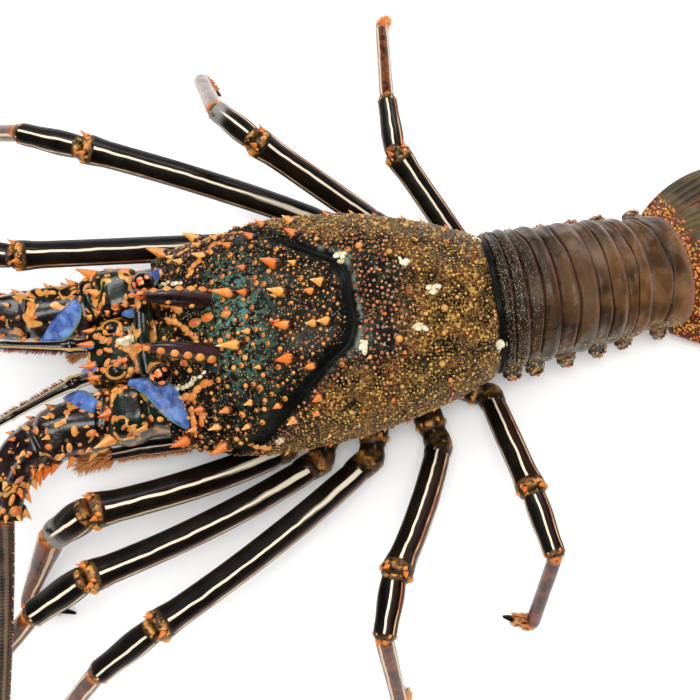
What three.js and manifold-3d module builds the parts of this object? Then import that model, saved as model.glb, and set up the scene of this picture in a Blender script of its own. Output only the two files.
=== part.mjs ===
// A pronghorn spiny lobster as a still, life-size model. Lengths are millimetres, +Z is up and
// the floor is at z = 0. The head points along -X and the animal's left side is -Y.
import * as THREE from 'three';
import { mergeVertices } from 'three/addons/utils/BufferGeometryUtils.js';
import Module from 'manifold-3d';

const wasm = await Module();
wasm.setup();

const GAP = 0.3; // between sub-parts that touch
const SEED = 2107; // of the random draw that varies the spines

// Carapace: half-width, height of its widest place and top height along x, from front to rear
const CARAPACE_FRONT = -66;
const CARAPACE_REAR = 63;
const CARAPACE_EDGE = 18; // height of its lower edge
const CARAPACE_HALF_WIDTH = [
  [-66, 36], [-55, 40.5], [-40, 44], [-20, 45.5], [5, 44], [25, 40], [45, 34], [63, 26.5],
];
const CARAPACE_BULGE = [[-66, 40], [-50, 35], [-25, 36], [10, 37], [35, 35], [63, 33]]; // where it is widest
const CARAPACE_TOP = [[-66, 51], [-50, 60], [-30, 66], [0, 69.5], [28, 68], [48, 63.5], [63, 57.5]];

// Sternum: the plate under the thorax that the legs grow from
const STERNUM_FRONT = -50;
const STERNUM_REAR = 57;
const STERNUM_TOP = CARAPACE_EDGE - GAP;
const STERNUM_HALF_WIDTH = [[-50, 9], [-25, 18], [10, 26], [40, 30], [57, 24]];
const STERNUM_BOTTOM = [[-50, 8], [-38, -1], [40, -1], [57, 7]];

// Head: the antennular plate in the middle and the antennal segments at its sides
const HEAD_REAR = CARAPACE_FRONT - GAP;
const HEAD_FRONT = -93;
const HEAD_HALF_WIDTH = [[-93, 31], [-84, 34], [-74, 31.5], [-66, 32]];
const HEAD_TOP = [[-93, 46], [-80, 51], [-66, 51]];
const HEAD_BOTTOM = [[-93, 25], [-66, 21]];
const PLATE_HALF_WIDTH = 12;

// Eyes, which point out of line with each other, and horns, given for the side that y is positive on
const EYE = { radius: 4.4, stalk: 3.4 };
const EYE_PLACES = {
  left: { root: [-69.5, -6.5, 50], ball: [-65, -15.5, 60] },
  right: { root: [-70, 8.5, 50], ball: [-67.5, 20.5, 60] },
};
const HORN = {
  path: [[-43, 10.5, 56], [-51, 10.3, 65], [-60, 9.8, 73], [-70, 9.3, 80]],
  radii: [4.6, 3.7, 2.8, 0.4],
};

// Abdomen: the joint planes between its six rings, from the carapace back
const RING_JOINTS = [
  { x: 63.3, y: 1.2, top: 57, bottom: 17, halfWidth: 27, yaw: 0, pitch: 0 },
  { x: 71, y: 1.8, top: 56.5, bottom: 15, halfWidth: 27.2, yaw: 2, pitch: 0 },
  { x: 82.5, y: 2.6, top: 54.5, bottom: 13, halfWidth: 26.4, yaw: 3, pitch: -2 },
  { x: 97.5, y: 4.1, top: 49.5, bottom: 12, halfWidth: 25.6, yaw: 4, pitch: -5 },
  { x: 109.5, y: 5.4, top: 44, bottom: 11, halfWidth: 24.9, yaw: 4.5, pitch: -9 },
  { x: 120, y: 6.6, top: 38.5, bottom: 10, halfWidth: 24.2, yaw: 4.5, pitch: -14 },
  { x: 140, y: 8, top: 29.5, bottom: 9, halfWidth: 23, yaw: 4.5, pitch: -19 },
];
const RING_WAIST = 0.94; // a ring's front edge, as a share of its rear edge
// A ring's side lobe: how far it reaches past its flank on each side, and ends above its foot
const PLEURON = { radius: 4.2, reach: { left: 0, right: 4 }, lift: 1.5, back: 3 };

// Tail fan: each blade's root, its heading against the ring before it, and its outline.
// The blades of the left side are less spread.
const FAN_SPREAD = { left: 0.5, right: 1 };
const TELSON = {
  root: [0.3, 0, 19], yaw: 0, pitch: -13, length: 46,
  halfWidth: [[0, 10], [0.2, 13], [0.8, 15], [0.94, 12], [1, 6]],
  halfThick: [[0, 4], [0.3, 2], [1, 1]],
};
const INNER_BLADE = {
  root: [0.3, 11.5, 13.6], yaw: 11, pitch: -11, length: 48,
  halfWidth: [[0, 6], [0.3, 9.5], [0.7, 11.5], [0.93, 8.5], [1, 4]],
  halfThick: [[0, 1.6], [1, 0.9]],
};
const OUTER_BLADE = {
  root: [-3, 18.5, 9.4], yaw: 22, pitch: -9.5, length: 52,
  halfWidth: [[0, 6], [0.25, 10.5], [0.5, 12.5], [0.75, 12], [0.93, 9], [1, 4.5]],
  halfThick: [[0, 2.2], [1, 1.2]],
};

// Walking legs: lengths shared by the two legs of a pair, from the front pair to the rear
const LEG_PAIRS = [
  { coxaX: -20, coxaY: 15, lengths: [84, 20.5, 44, 20], thick: 1.12 },
  { coxaX: -1, coxaY: 19, lengths: [103, 25, 48, 16], thick: 1 },
  { coxaX: 15, coxaY: 22, lengths: [109, 28, 49, 16], thick: 1 },
  { coxaX: 31, coxaY: 24, lengths: [68, 21.5, 46, 12], thick: 1 },
  { coxaX: 46, coxaY: 22, lengths: [54, 24.5, 51, 12], thick: 0.95 },
];
const COXA_HEIGHT = 9;
const LEG_RADII = {
  coxa: 6.5, hip: 5.2, merus: 5.5, knee: 5.8, carpus: 5, wrist: 4.3, propodus: 3.4, ankle: 2.8, tip: 0.9,
};
const TIP_HEIGHT = 0.4; // of the claw's end before the floor cuts it flat
const KNEE_SPINE = { length: 7, radius: 1.7 };

// The pose of each leg: where its hip stands, the yaw and pitch of its segments in degrees, and
// how far its merus bows to the rear. Yaw 0 points along +X and grows outward. Where no pitch is
// given for the claw, it follows from the floor.
const LEG_POSES = {
  left: [
    { hip: [-25.5, 40, 11], yaw: [165.5, 163.5, 137, 21], pitch: [26, -35.5, -51], bow: 2 },
    { hip: [-12.5, 47.5, 13], yaw: [158.5, 158, 148.5, 132], pitch: [21, -20, -44], bow: 2.7 },
    { hip: [7.5, 49.5, 13], yaw: [148, 153.5, 148, 141], pitch: [19.5, -21, -49.5], bow: 2 },
    { hip: [35, 49, 14], yaw: [119, 109, 82, -50], pitch: [32, -2, -58.5], bow: 1.5 },
    { hip: [59, 32, 12], yaw: [84.5, 83.5, 106, 202], pitch: [33.5, 8.5, -65], bow: 0 },
  ],
  right: [
    { hip: [-24, 31.5, 11], yaw: [178, 171, 169, 169], pitch: [2, -3, -7], bow: 0 },
    { hip: [-22, 48, 9], yaw: [182, 165.5, 139, 118], pitch: [21, 0, -50], bow: 0 },
    { hip: [9, 50, 11], yaw: [160.5, 153, 146, 146], pitch: [21, -10, -42], bow: 1.5 },
    { hip: [27.5, 47, 11], yaw: [147.5, 128.5, 100, -32], pitch: [35, -8, -45.5, -45], bow: 0 },
    { hip: [61.5, 27.5, 12], yaw: [119.5, 88, 82.5, 60], pitch: [21.5, -2, -25.5, -38], bow: 0 },
  ],
};

// Antennae: paths of the two free peduncle segments and of the flagellum, on each side
const ANTENNA = {
  left: {
    peduncle: [[-93.3, -23.5, 36.5], [-108, -26, 38], [-122, -31, 37], [-129, -42, 36], [-132, -54, 34]],
    flagellum: [
      [-132, -54, 34], [-132, -84, 41], [-135, -119, 44], [-142, -160, 42],
      [-146, -205, 36], [-142, -255, 29], [-130, -300, 23], [-112, -340, 18],
    ],
  },
  right: {
    peduncle: [[-93.3, 21, 36.5], [-108, 21.5, 38], [-124, 23, 39], [-137, 26, 39.5], [-149, 31, 39]],
    flagellum: [
      [-149, 31, 39], [-174, 50, 38], [-196, 80, 37], [-211, 116, 35],
      [-217, 158, 31], [-214, 202, 27], [-203, 245, 23], [-186, 285, 20],
    ],
  },
};
const PEDUNCLE_RADII = [10.6, 10.4, 9, 7.6, 6];
const FLAGELLUM_RADII = [3.6, 2.6, 2.3, 2, 1.8, 1.5, 1.2, 0.8];

// Antennules: a rod that ends in two thin lashes
const ANTENNULES = {
  left: [[-93.4, -6.5, 42], [-101, -9.5, 44], [-126, -21, 50], [-142, -29, 53]],
  right: [[-93.4, 5, 42], [-100, 5.5, 44], [-125, 8.5, 50], [-142, 12, 53]],
};
const ANTENNULE_RADII = [3, 1.8, 1.5, 1.5];
const LASH_SPREAD = 7;
const LASH_LENGTH = 34;

// Third maxillipeds: the left one lies out to the side, the right one under the head
const MAXILLIPEDS = {
  left: [[-36, -8, 9], [-56, -29, 11], [-84, -32.5, 18], [-101, -33.5, 18], [-106, -34, 16]],
  right: [[-36, 8, 9], [-58, 13, 10], [-82, 13, 14], [-101, 12, 16], [-106, 10, 14]],
};
const MAXILLIPED_RADII = [4.2, 4, 3.4, 2.8, 1.2];

// Large spines of the carapace, in pairs: [x, degrees from the top, length, radius]
const LARGE_SPINES = [
  [-35, 12, 10, 2.3], [-17, 7.5, 7, 2.2], [-18, 22.5, 7, 2.4], [-2.5, 9, 5.5, 2], [-4, 24, 5.5, 2.2],
  [-60, 73, 8, 2.6], [-62, 48, 6.5, 2.4], [-46.5, 73, 7.5, 2.6], [-35.5, 73, 5, 2.2],
];
// Rows of smaller spines along each side: [degrees from the top, first x, last x, spacing]
const SPINE_ROWS = [[7, -30, 0, 14], [25, -28, -6, 11], [45, -52, 0, 11], [58, -55, -10, 11]];
const SMALL_ROWS = [
  [10, 20, 54, 16], [34, 12, 52, 15], [60, 5, 52, 14], [73, -25, 50, 12], [92, -54, 50, 12],
];
const FRONT_SPINE = { longest: 5.5, shortest: 3.4 };
const SMALL_SPINE = 2.2;
const SPINE_LEAN = 0.75; // how far a spine leans forward, against its rise
const STEM_SPINES = { length: 5.5, radius: 1.9, angles: [-100, -50, 0], shares: [0.2, 0.42, 0.64, 0.86] };
const PLATE_SPINES = [[-90, 4, 7, 2], [-89, 9, 5.5, 1.8], [-78, 5, 4, 1.8]];
const BASE_SPINES = [[-87, 31.5, 43, 9, 3], [-86, 23, 48, 6, 2.2], [-74, 30, 47, 5, 2]];

const COLOURS = {
  carapace: '#2b3323', sternum: '#8a7048', horn: '#4a2a2c', eye: '#120d0c', plate: '#27442f',
  antenna: '#4a2c38', flagellum: '#5b4030', antennule: '#15110f', leg: '#17120f', lowerLeg: '#51281c',
  abdomen: '#5c4036', fan: '#3f4a24', maxilliped: '#17120f',
};

const SIDES = { left: -1, right: 1 };
const vector = ([x, y, z]) => new THREE.Vector3(x, y, z);
const radians = THREE.MathUtils.degToRad;

// A smooth curve through a short table of [position, value] pairs
function along(table, x) {
  const last = table.length - 1;
  let i = 0;
  while (i < last - 1 && x > table[i + 1][0]) i += 1;
  const slope = (j) => {
    const before = table[Math.max(j - 1, 0)];
    const after = table[Math.min(j + 1, last)];
    return (after[1] - before[1]) / (after[0] - before[0]);
  };
  const span = table[i + 1][0] - table[i][0];
  const t = THREE.MathUtils.clamp((x - table[i][0]) / span, 0, 1);
  const fall = 2 * t ** 3 - 3 * t ** 2 + 1;
  const start = t ** 3 - 2 * t ** 2 + t;
  const end = t ** 3 - t ** 2;
  return fall * table[i][1] + (1 - fall) * table[i + 1][1] + span * (start * slope(i) + end * slope(i + 1));
}

// A power that keeps the sign, for rounded box sections
const signedPower = (value, power) => Math.sign(value) * Math.abs(value) ** power;

// The direction of a yaw and a pitch in degrees
function heading(yaw, pitch) {
  const turn = radians(yaw);
  const rise = radians(pitch);
  const level = Math.cos(rise);
  return new THREE.Vector3(level * Math.cos(turn), level * Math.sin(turn), Math.sin(rise));
}

// A closed skin. place(share, angle, rim) gives the point at a share of the length and an angle
// round it, with angle 0 on top; rim is 0 for the middle of an end cap and 1 elsewhere.
function skin(sides, rows, place) {
  const geometry = new THREE.CylinderGeometry(1, 1, 1, sides, rows);
  const position = geometry.attributes.position;
  for (let i = 0; i < position.count; i += 1) {
    const rim = Math.hypot(position.getX(i), position.getZ(i)) > 0.5 ? 1 : 0;
    const angle = Math.atan2(position.getX(i), position.getZ(i));
    const point = place(position.getY(i) + 0.5, angle, rim);
    position.setXYZ(i, point.x, point.y, point.z);
  }
  return geometry;
}

// The solid inside a closed three.js geometry
function solid(geometry) {
  const bare = new THREE.BufferGeometry();
  bare.setAttribute('position', geometry.attributes.position);
  bare.setIndex(geometry.index);
  const merged = mergeVertices(bare, 1e-4);
  return new wasm.Manifold(new wasm.Mesh({
    numProp: 3,
    vertProperties: Float32Array.from(merged.attributes.position.array),
    triVerts: Uint32Array.from(merged.index.array),
  }));
}

// The largest closed body of a union or a cut
function largest(body) {
  return body.decompose().reduce((best, piece) => (piece.volume() > best.volume() ? piece : best));
}

// A loft along +X between two x values, with its section from half-width, top and bottom curves
function loftAlongX(front, rear, sides, rows, section, grow = 0) {
  return skin(sides, rows, (share, angle, rim) => {
    const x = THREE.MathUtils.lerp(front - grow, rear + grow, share);
    const point = section(THREE.MathUtils.clamp(x, front, rear), angle, rim, grow);
    point.x = x;
    return point;
  });
}

// A rounded section: half-width and heights above and below its widest level
function roundSection(halfWidth, above, below, middle, angle, rim, powers) {
  const sine = Math.sin(angle);
  const cosine = Math.cos(angle);
  const upper = cosine > 0;
  const y = -rim * halfWidth * signedPower(sine, upper ? powers.upper : powers.lower);
  const z = middle + rim * (upper ? above : below) * signedPower(cosine, upper ? powers.upper : 1);
  return new THREE.Vector3(0, y, z);
}

function carapaceSection(x, angle, rim, grow) {
  const bulge = along(CARAPACE_BULGE, x);
  const above = along(CARAPACE_TOP, x) - bulge + grow;
  const halfWidth = along(CARAPACE_HALF_WIDTH, x) + grow;
  const powers = { upper: 0.97, lower: 1.3 };
  return roundSection(halfWidth, above, bulge + 3, bulge, angle, rim, powers);
}

function carapaceBody(grow = 0) {
  const whole = solid(loftAlongX(CARAPACE_FRONT, CARAPACE_REAR, 30, 20, carapaceSection, grow));
  return whole.trimByPlane([0, 0, 1], CARAPACE_EDGE - grow);
}

function sternumSection(x, angle, rim, grow) {
  const middle = 12;
  const bottom = along(STERNUM_BOTTOM, x);
  const halfWidth = along(STERNUM_HALF_WIDTH, x) + grow;
  const powers = { upper: 0.5, lower: 0.7 };
  return roundSection(halfWidth, 12, middle - bottom + grow, middle, angle, rim, powers);
}

function sternumBody(grow = 0) {
  const whole = solid(loftAlongX(STERNUM_FRONT, STERNUM_REAR, 20, 12, sternumSection, grow));
  return whole.trimByPlane([0, 0, 1], 0).trimByPlane([0, 0, -1], -STERNUM_TOP);
}

function headSection(x, angle, rim, grow) {
  const top = along(HEAD_TOP, x);
  const bottom = along(HEAD_BOTTOM, x);
  const middle = (top + bottom) / 2;
  const halfWidth = along(HEAD_HALF_WIDTH, x) + grow;
  const powers = { upper: 0.55, lower: 0.8 };
  return roundSection(halfWidth, top - middle + grow, middle - bottom + grow, middle, angle, rim, powers);
}

function headBody(grow = 0) {
  return solid(loftAlongX(HEAD_FRONT, HEAD_REAR, 24, 6, headSection, grow));
}

// A limb: rings of a given radius at the points of a path. The first and last rings lie in the
// planes of the joints there, and the others halve the bend.
function limb(path, radii, { sides = 8, startNormal, endNormal, startGap = 0, endGap = 0 } = {}) {
  const last = path.length - 1;
  const steps = path.slice(1).map((point, i) => point.clone().sub(path[i]).normalize());
  const normals = path.map((_, i) => {
    if (i === 0) return (startNormal ?? steps[0]).clone();
    if (i === last) return (endNormal ?? steps[last - 1]).clone();
    return steps[i - 1].clone().add(steps[i]).normalize();
  });
  const centres = path.map((point) => point.clone());
  centres[0].addScaledVector(normals[0], startGap);
  centres[last].addScaledVector(normals[last], -endGap);

  const up = new THREE.Vector3(0, 0, 1);
  if (Math.abs(normals[0].z) > 0.9) up.set(1, 0, 0);
  const ups = [up.addScaledVector(normals[0], -up.dot(normals[0])).normalize()];
  for (let i = 1; i <= last; i += 1) {
    const turn = new THREE.Quaternion().setFromUnitVectors(normals[i - 1], normals[i]);
    ups.push(ups[i - 1].clone().applyQuaternion(turn));
  }
  return solid(skin(sides, last, (share, angle, rim) => {
    const i = Math.round(share * last);
    const sideways = normals[i].clone().cross(ups[i]);
    return centres[i].clone()
      .addScaledVector(sideways, rim * radii[i] * Math.sin(angle))
      .addScaledVector(ups[i], rim * radii[i] * Math.cos(angle));
  }));
}

// A smooth path of `count` steps through a few points
function smooth(points, count) {
  return new THREE.CatmullRomCurve3(points, false, 'centripetal').getPoints(count);
}

// Radii along a path, spread evenly from a short list
function radiiAlong(list, count) {
  const table = list.map((radius, i) => [i / (list.length - 1), radius]);
  return Array.from({ length: count + 1 }, (_, i) => along(table, i / count));
}

// A cone whose root lies `sunk` below its foot point
function spine(foot, direction, radius, length, sunk = 1.5, sides = 5) {
  const height = length + sunk;
  const geometry = new THREE.ConeGeometry(radius * height / length, height, sides);
  geometry.translate(0, height / 2 - sunk, 0);
  const turn = new THREE.Quaternion().setFromUnitVectors(new THREE.Vector3(0, 1, 0), direction);
  geometry.applyQuaternion(turn);
  geometry.translate(foot.x, foot.y, foot.z);
  return solid(geometry);
}

const lobster = new THREE.Group();

function add(name, body, colour, roughness = 0.45) {
  const mesh = largest(body).getMesh();
  const geometry = new THREE.BufferGeometry();
  geometry.setAttribute('position', new THREE.BufferAttribute(mesh.vertProperties, 3));
  geometry.setIndex(new THREE.BufferAttribute(mesh.triVerts, 1));
  geometry.computeVertexNormals();
  const material = new THREE.MeshStandardMaterial({ color: colour, roughness, metalness: 0 });
  const part = new THREE.Mesh(geometry, material);
  part.name = name;
  lobster.add(part);
}

// An even draw between -1 and 1 that is the same every time
let drawState = SEED;
function draw() {
  drawState = (drawState * 16807) % 2147483647;
  return (drawState / 2147483647) * 2 - 1;
}

// A point of the carapace at an angle in degrees from the top, on one side
function carapacePoint(x, degrees, side) {
  const point = carapaceSection(x, -side * radians(degrees), 1, 0);
  point.x = x;
  return point;
}

function carapaceSpine(x, degrees, side, length, radius) {
  const foot = carapacePoint(x, degrees, side);
  const ahead = carapacePoint(x - 1, degrees, side).sub(foot);
  const round = carapacePoint(x, degrees + 2, side).sub(foot);
  const outward = round.cross(ahead).normalize().multiplyScalar(side);
  const aim = outward.addScaledVector(ahead.normalize(), SPINE_LEAN).normalize();
  return spine(foot, aim, radius, length);
}

function carapaceSpines() {
  const spines = [];
  for (const side of Object.values(SIDES)) {
    for (const [x, degrees, length, radius] of LARGE_SPINES) {
      spines.push(carapaceSpine(x, degrees, side, length, radius));
    }
    for (const [degrees, first, last, spacing] of SPINE_ROWS) {
      for (let x = first; x <= last; x += spacing) {
        const forward = THREE.MathUtils.clamp(-x / 60, 0, 1);
        const even = THREE.MathUtils.lerp(FRONT_SPINE.shortest, FRONT_SPINE.longest, forward);
        const length = even * (1 + 0.15 * draw());
        spines.push(carapaceSpine(x + 2 * draw(), degrees + 3 * draw(), side, length, 0.42 * length));
      }
    }
    for (const [degrees, first, last, spacing] of SMALL_ROWS) {
      for (let x = first; x <= last; x += spacing) {
        const length = SMALL_SPINE * (1 + 0.2 * draw());
        spines.push(carapaceSpine(x + 3 * draw(), degrees + 5 * draw(), side, length, 0.6 * length));
      }
    }
  }
  return spines;
}

// Thorax
const sternum = sternumBody();
const grownCarapace = carapaceBody(GAP);
const grownSternum = sternumBody(GAP);
const grownHead = headBody(GAP);
const carapace = wasm.Manifold.union([carapaceBody(), ...carapaceSpines()]);
add('carapace', carapace.subtract(grownHead), COLOURS.carapace);
add('sternum', sternum, COLOURS.sternum);

// Head
const head = headBody();
const plateSlab = head.trimByPlane([0, 1, 0], -PLATE_HALF_WIDTH).trimByPlane([0, -1, 0], -PLATE_HALF_WIDTH);
const plateSpines = Object.values(SIDES).flatMap((side) => PLATE_SPINES.map(([x, y, length, radius]) => {
  const foot = vector([x, side * y, along(HEAD_TOP, x) - 1]);
  return spine(foot, vector([-0.85, 0.1 * side, 0.5]).normalize(), radius, length);
}));
add('antennular_plate', wasm.Manifold.union([plateSlab, ...plateSpines]), COLOURS.plate);

function horn(side) {
  const mirrored = HORN.path.map(([x, y, z]) => vector([x, side * y, z]));
  const count = 6;
  return limb(smooth(mirrored, count), radiiAlong(HORN.radii, count), { sides: 8 }).subtract(grownCarapace);
}

function eye(place) {
  const ball = vector(place.ball);
  const root = vector(place.root);
  const sphere = new THREE.SphereGeometry(EYE.radius, 14, 10);
  sphere.translate(ball.x, ball.y, ball.z);
  const stalk = limb([root, ball], [EYE.stalk + 0.6, EYE.stalk], { sides: 8 });
  return stalk.add(solid(sphere)).subtract(grownHead).subtract(grownCarapace);
}

function antennule(points) {
  const rod = points.map(vector);
  const forward = vector([-1, 0, 0]);
  const end = rod[rod.length - 1];
  const ahead = end.clone().sub(rod[rod.length - 2]).normalize();
  const lashes = [-1, 1].map((way) => {
    const place = (distance, spread, rise) => {
      return end.clone().addScaledVector(ahead, distance).add(vector([0, way * spread, rise]));
    };
    const path = [
      place(-3, 0, 0), place(2, 0, 0),
      place(LASH_LENGTH / 2, LASH_SPREAD / 2, 1), place(LASH_LENGTH, LASH_SPREAD, 0),
    ];
    return limb(path, [1.2, 1.1, 0.8, 0.4], { sides: 5 });
  });
  return wasm.Manifold.union([limb(rod, ANTENNULE_RADII, { startNormal: forward }), ...lashes]);
}

// The large spines at the front of an antenna's fixed base
function baseSpines(side) {
  const aim = vector([-0.9, 0.25 * side, 0.35]).normalize();
  return BASE_SPINES.map(([x, y, z, length, radius]) => {
    return spine(vector([x, side * y, z - 1]), aim, radius, length, 3);
  });
}

// Spines in rows along the outer and upper sides of an antenna's free stem
function stemSpines(stem, radii, side) {
  const curve = new THREE.CatmullRomCurve3(stem);
  return STEM_SPINES.shares.flatMap((share) => STEM_SPINES.angles.map((degrees) => {
    const middle = curve.getPointAt(share);
    const direction = curve.getTangentAt(share);
    const sideways = new THREE.Vector3(0, 0, 1).cross(direction).normalize().multiplyScalar(side);
    const up = direction.clone().cross(new THREE.Vector3(0, 0, 1).cross(direction)).normalize();
    const angle = radians(degrees + 8 * draw());
    const outward = up.multiplyScalar(Math.cos(angle)).addScaledVector(sideways, Math.sin(angle));
    const radius = along(radii.map((value, i) => [i / (radii.length - 1), value]), share);
    const foot = middle.addScaledVector(outward, radius - 0.6);
    const aim = outward.addScaledVector(direction, 0.6).normalize();
    return spine(foot, aim, STEM_SPINES.radius, STEM_SPINES.length * (1 + 0.2 * draw()));
  }));
}

for (const [name, side] of Object.entries(SIDES)) {
  add(`horn_${name}`, horn(side), COLOURS.horn);
  add(`eye_${name}`, eye(EYE_PLACES[name]), COLOURS.eye, 0.15);
  const base = head.trimByPlane([0, side, 0], PLATE_HALF_WIDTH + GAP);
  add(`antenna_base_${name}`, wasm.Manifold.union([base, ...baseSpines(side)]), COLOURS.antenna);
  const { peduncle, flagellum } = ANTENNA[name];
  const stem = smooth(peduncle.map(vector), 8);
  const lash = smooth(flagellum.map(vector), 28);
  const joint = lash[1].clone().sub(stem[7]).normalize();
  const stemRadii = radiiAlong(PEDUNCLE_RADII, 8);
  const start = vector([-1, 0, 0]);
  const stemBody = limb(stem, stemRadii, { sides: 12, startNormal: start, endNormal: joint });
  const stemParts = [stemBody, ...stemSpines(stem, stemRadii, side)];
  add(`antenna_stem_${name}`, wasm.Manifold.union(stemParts), COLOURS.antenna);
  const lashRadii = radiiAlong(FLAGELLUM_RADII, 28);
  const middle = lash[15].clone().sub(lash[13]).normalize();
  const near = { startNormal: joint, endNormal: middle, startGap: GAP, endGap: GAP / 2 };
  const far = { startNormal: middle, startGap: GAP / 2 };
  add(`flagellum_near_${name}`, limb(lash.slice(0, 15), lashRadii.slice(0, 15), near), COLOURS.flagellum);
  add(`flagellum_far_${name}`, limb(lash.slice(14), lashRadii.slice(14), far), COLOURS.flagellum);
  add(`antennule_${name}`, antennule(ANTENNULES[name]), COLOURS.antennule);
  const jaw = limb(smooth(MAXILLIPEDS[name].map(vector), 8), radiiAlong(MAXILLIPED_RADII, 8));
  add(`maxilliped_${name}`, jaw.subtract(grownSternum).subtract(grownCarapace), COLOURS.maxilliped);
}

// Abdomen
const ringNormal = (joint) => heading(joint.yaw, joint.pitch);

function ringPoint(joint, halfWidth, above, below, angle, rim) {
  const normal = ringNormal(joint);
  const sideways = new THREE.Vector3(0, 0, 1).cross(normal).normalize();
  const up = normal.clone().cross(sideways);
  const middle = joint.bottom + 0.4 * (joint.top - joint.bottom);
  const local = roundSection(halfWidth, above, below, 0, angle, rim, { upper: 0.95, lower: 0.7 });
  return new THREE.Vector3(joint.x, joint.y, middle)
    .addScaledVector(sideways, local.y)
    .addScaledVector(up, local.z);
}

function blendJoints(a, b, share) {
  const mixed = {};
  for (const key of Object.keys(a)) mixed[key] = THREE.MathUtils.lerp(a[key], b[key], share);
  return mixed;
}

function ringBody(index, grow = 0) {
  const front = RING_JOINTS[index];
  const rear = RING_JOINTS[index + 1];
  const swell = [[0, RING_WAIST], [0.3, 0.97], [0.6, 1], [1, 1.01]];
  const body = solid(skin(24, 4, (share, angle, rim) => {
    const joint = blendJoints(front, rear, share);
    const height = joint.top - joint.bottom;
    const size = along(swell, share);
    const above = height * 0.6 * size + grow;
    return ringPoint(joint, joint.halfWidth * size + grow, above, height * 0.4 + grow, angle, rim);
  }));
  return body;
}

// The flat cuts at a ring's two joints, half a gap from each joint plane
function trimToJoints(body, index) {
  const cuts = [[RING_JOINTS[index], 1], [RING_JOINTS[index + 1], -1]];
  return cuts.reduce((kept, [joint, way]) => {
    const normal = ringNormal(joint).multiplyScalar(way);
    const offset = normal.dot(new THREE.Vector3(joint.x, joint.y, (joint.top + joint.bottom) / 2));
    return kept.trimByPlane(normal.toArray(), offset + GAP / 2);
  }, body);
}

function pleuron(index, name, side) {
  const joint = blendJoints(RING_JOINTS[index], RING_JOINTS[index + 1], 0.5);
  const foot = new THREE.Vector3(joint.x, joint.y + side * (joint.halfWidth - 4), joint.bottom + 12);
  const out = joint.halfWidth + PLEURON.reach[name];
  const tip = new THREE.Vector3(joint.x + PLEURON.back, joint.y + side * out, joint.bottom + PLEURON.lift);
  const direction = tip.clone().sub(foot).normalize();
  return spine(foot, direction, PLEURON.radius, foot.distanceTo(tip), 3, 7);
}

for (let index = 0; index < 6; index += 1) {
  const pieces = [ringBody(index)];
  for (const [name, side] of Object.entries(SIDES)) pieces.push(pleuron(index, name, side));
  add(`abdomen_${index + 1}`, trimToJoints(wasm.Manifold.union(pieces), index), COLOURS.abdomen);
}

// Tail fan
const fanJoint = RING_JOINTS[6];
const lastRing = ringBody(5, GAP);

function blade(shape, name) {
  const side = SIDES[name];
  const [ahead, out, height] = shape.root;
  const axis = heading(fanJoint.yaw, 0);
  const across = new THREE.Vector3(0, 0, 1).cross(axis);
  const root = new THREE.Vector3(fanJoint.x, fanJoint.y, height)
    .addScaledVector(axis, ahead)
    .addScaledVector(across, side * out);
  const direction = heading(fanJoint.yaw + side * FAN_SPREAD[name] * shape.yaw, shape.pitch);
  const sideways = new THREE.Vector3(0, 0, 1).cross(direction).normalize();
  const up = direction.clone().cross(sideways);
  const body = solid(skin(14, 8, (share, angle, rim) => {
    const halfWidth = along(shape.halfWidth, share);
    const halfThick = along(shape.halfThick, share);
    return root.clone()
      .addScaledVector(direction, share * shape.length)
      .addScaledVector(sideways, -rim * halfWidth * Math.sin(angle))
      .addScaledVector(up, rim * halfThick * signedPower(Math.cos(angle), 0.6));
  }));
  const rear = ringNormal(fanJoint);
  const offset = rear.dot(new THREE.Vector3(fanJoint.x, fanJoint.y, (fanJoint.top + fanJoint.bottom) / 2));
  const onFloor = body.trimByPlane([0, 0, 1], 0);
  if (shape === OUTER_BLADE) return onFloor.subtract(lastRing);
  return onFloor.trimByPlane(rear.toArray(), offset + GAP / 2);
}

add('telson', blade(TELSON, 'right'), COLOURS.fan);
for (const name of Object.keys(SIDES)) {
  add(`uropod_inner_${name}`, blade(INNER_BLADE, name), COLOURS.fan);
  add(`uropod_outer_${name}`, blade(OUTER_BLADE, name), COLOURS.fan);
}

// Walking legs
function legJoints(pair, pose, side) {
  const points = [vector([pose.hip[0], side * pose.hip[1], pose.hip[2]])];
  for (let i = 0; i < 4; i += 1) {
    const drop = Math.min((points[i].z - TIP_HEIGHT) / pair.lengths[i], 1);
    const pitch = pose.pitch[i] ?? -THREE.MathUtils.radToDeg(Math.asin(drop));
    const step = heading(side * pose.yaw[i], pitch).multiplyScalar(pair.lengths[i]);
    points.push(points[i].clone().add(step));
  }
  return points;
}

// Spines on top of the far end of a leg segment
function kneeSpines(from, to, radius) {
  const direction = to.clone().sub(from).normalize();
  const sideways = new THREE.Vector3(0, 0, 1).cross(direction).normalize();
  const up = direction.clone().cross(sideways);
  return [-0.7, 0.7].map((lean) => {
    const outward = up.clone().multiplyScalar(Math.cos(lean)).addScaledVector(sideways, Math.sin(lean));
    const foot = to.clone().addScaledVector(direction, -6).addScaledVector(outward, radius - 0.6);
    const aim = outward.clone().multiplyScalar(0.45).addScaledVector(direction, 0.6).normalize();
    return spine(foot, aim, KNEE_SPINE.radius, KNEE_SPINE.length, 1.8);
  });
}

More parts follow.
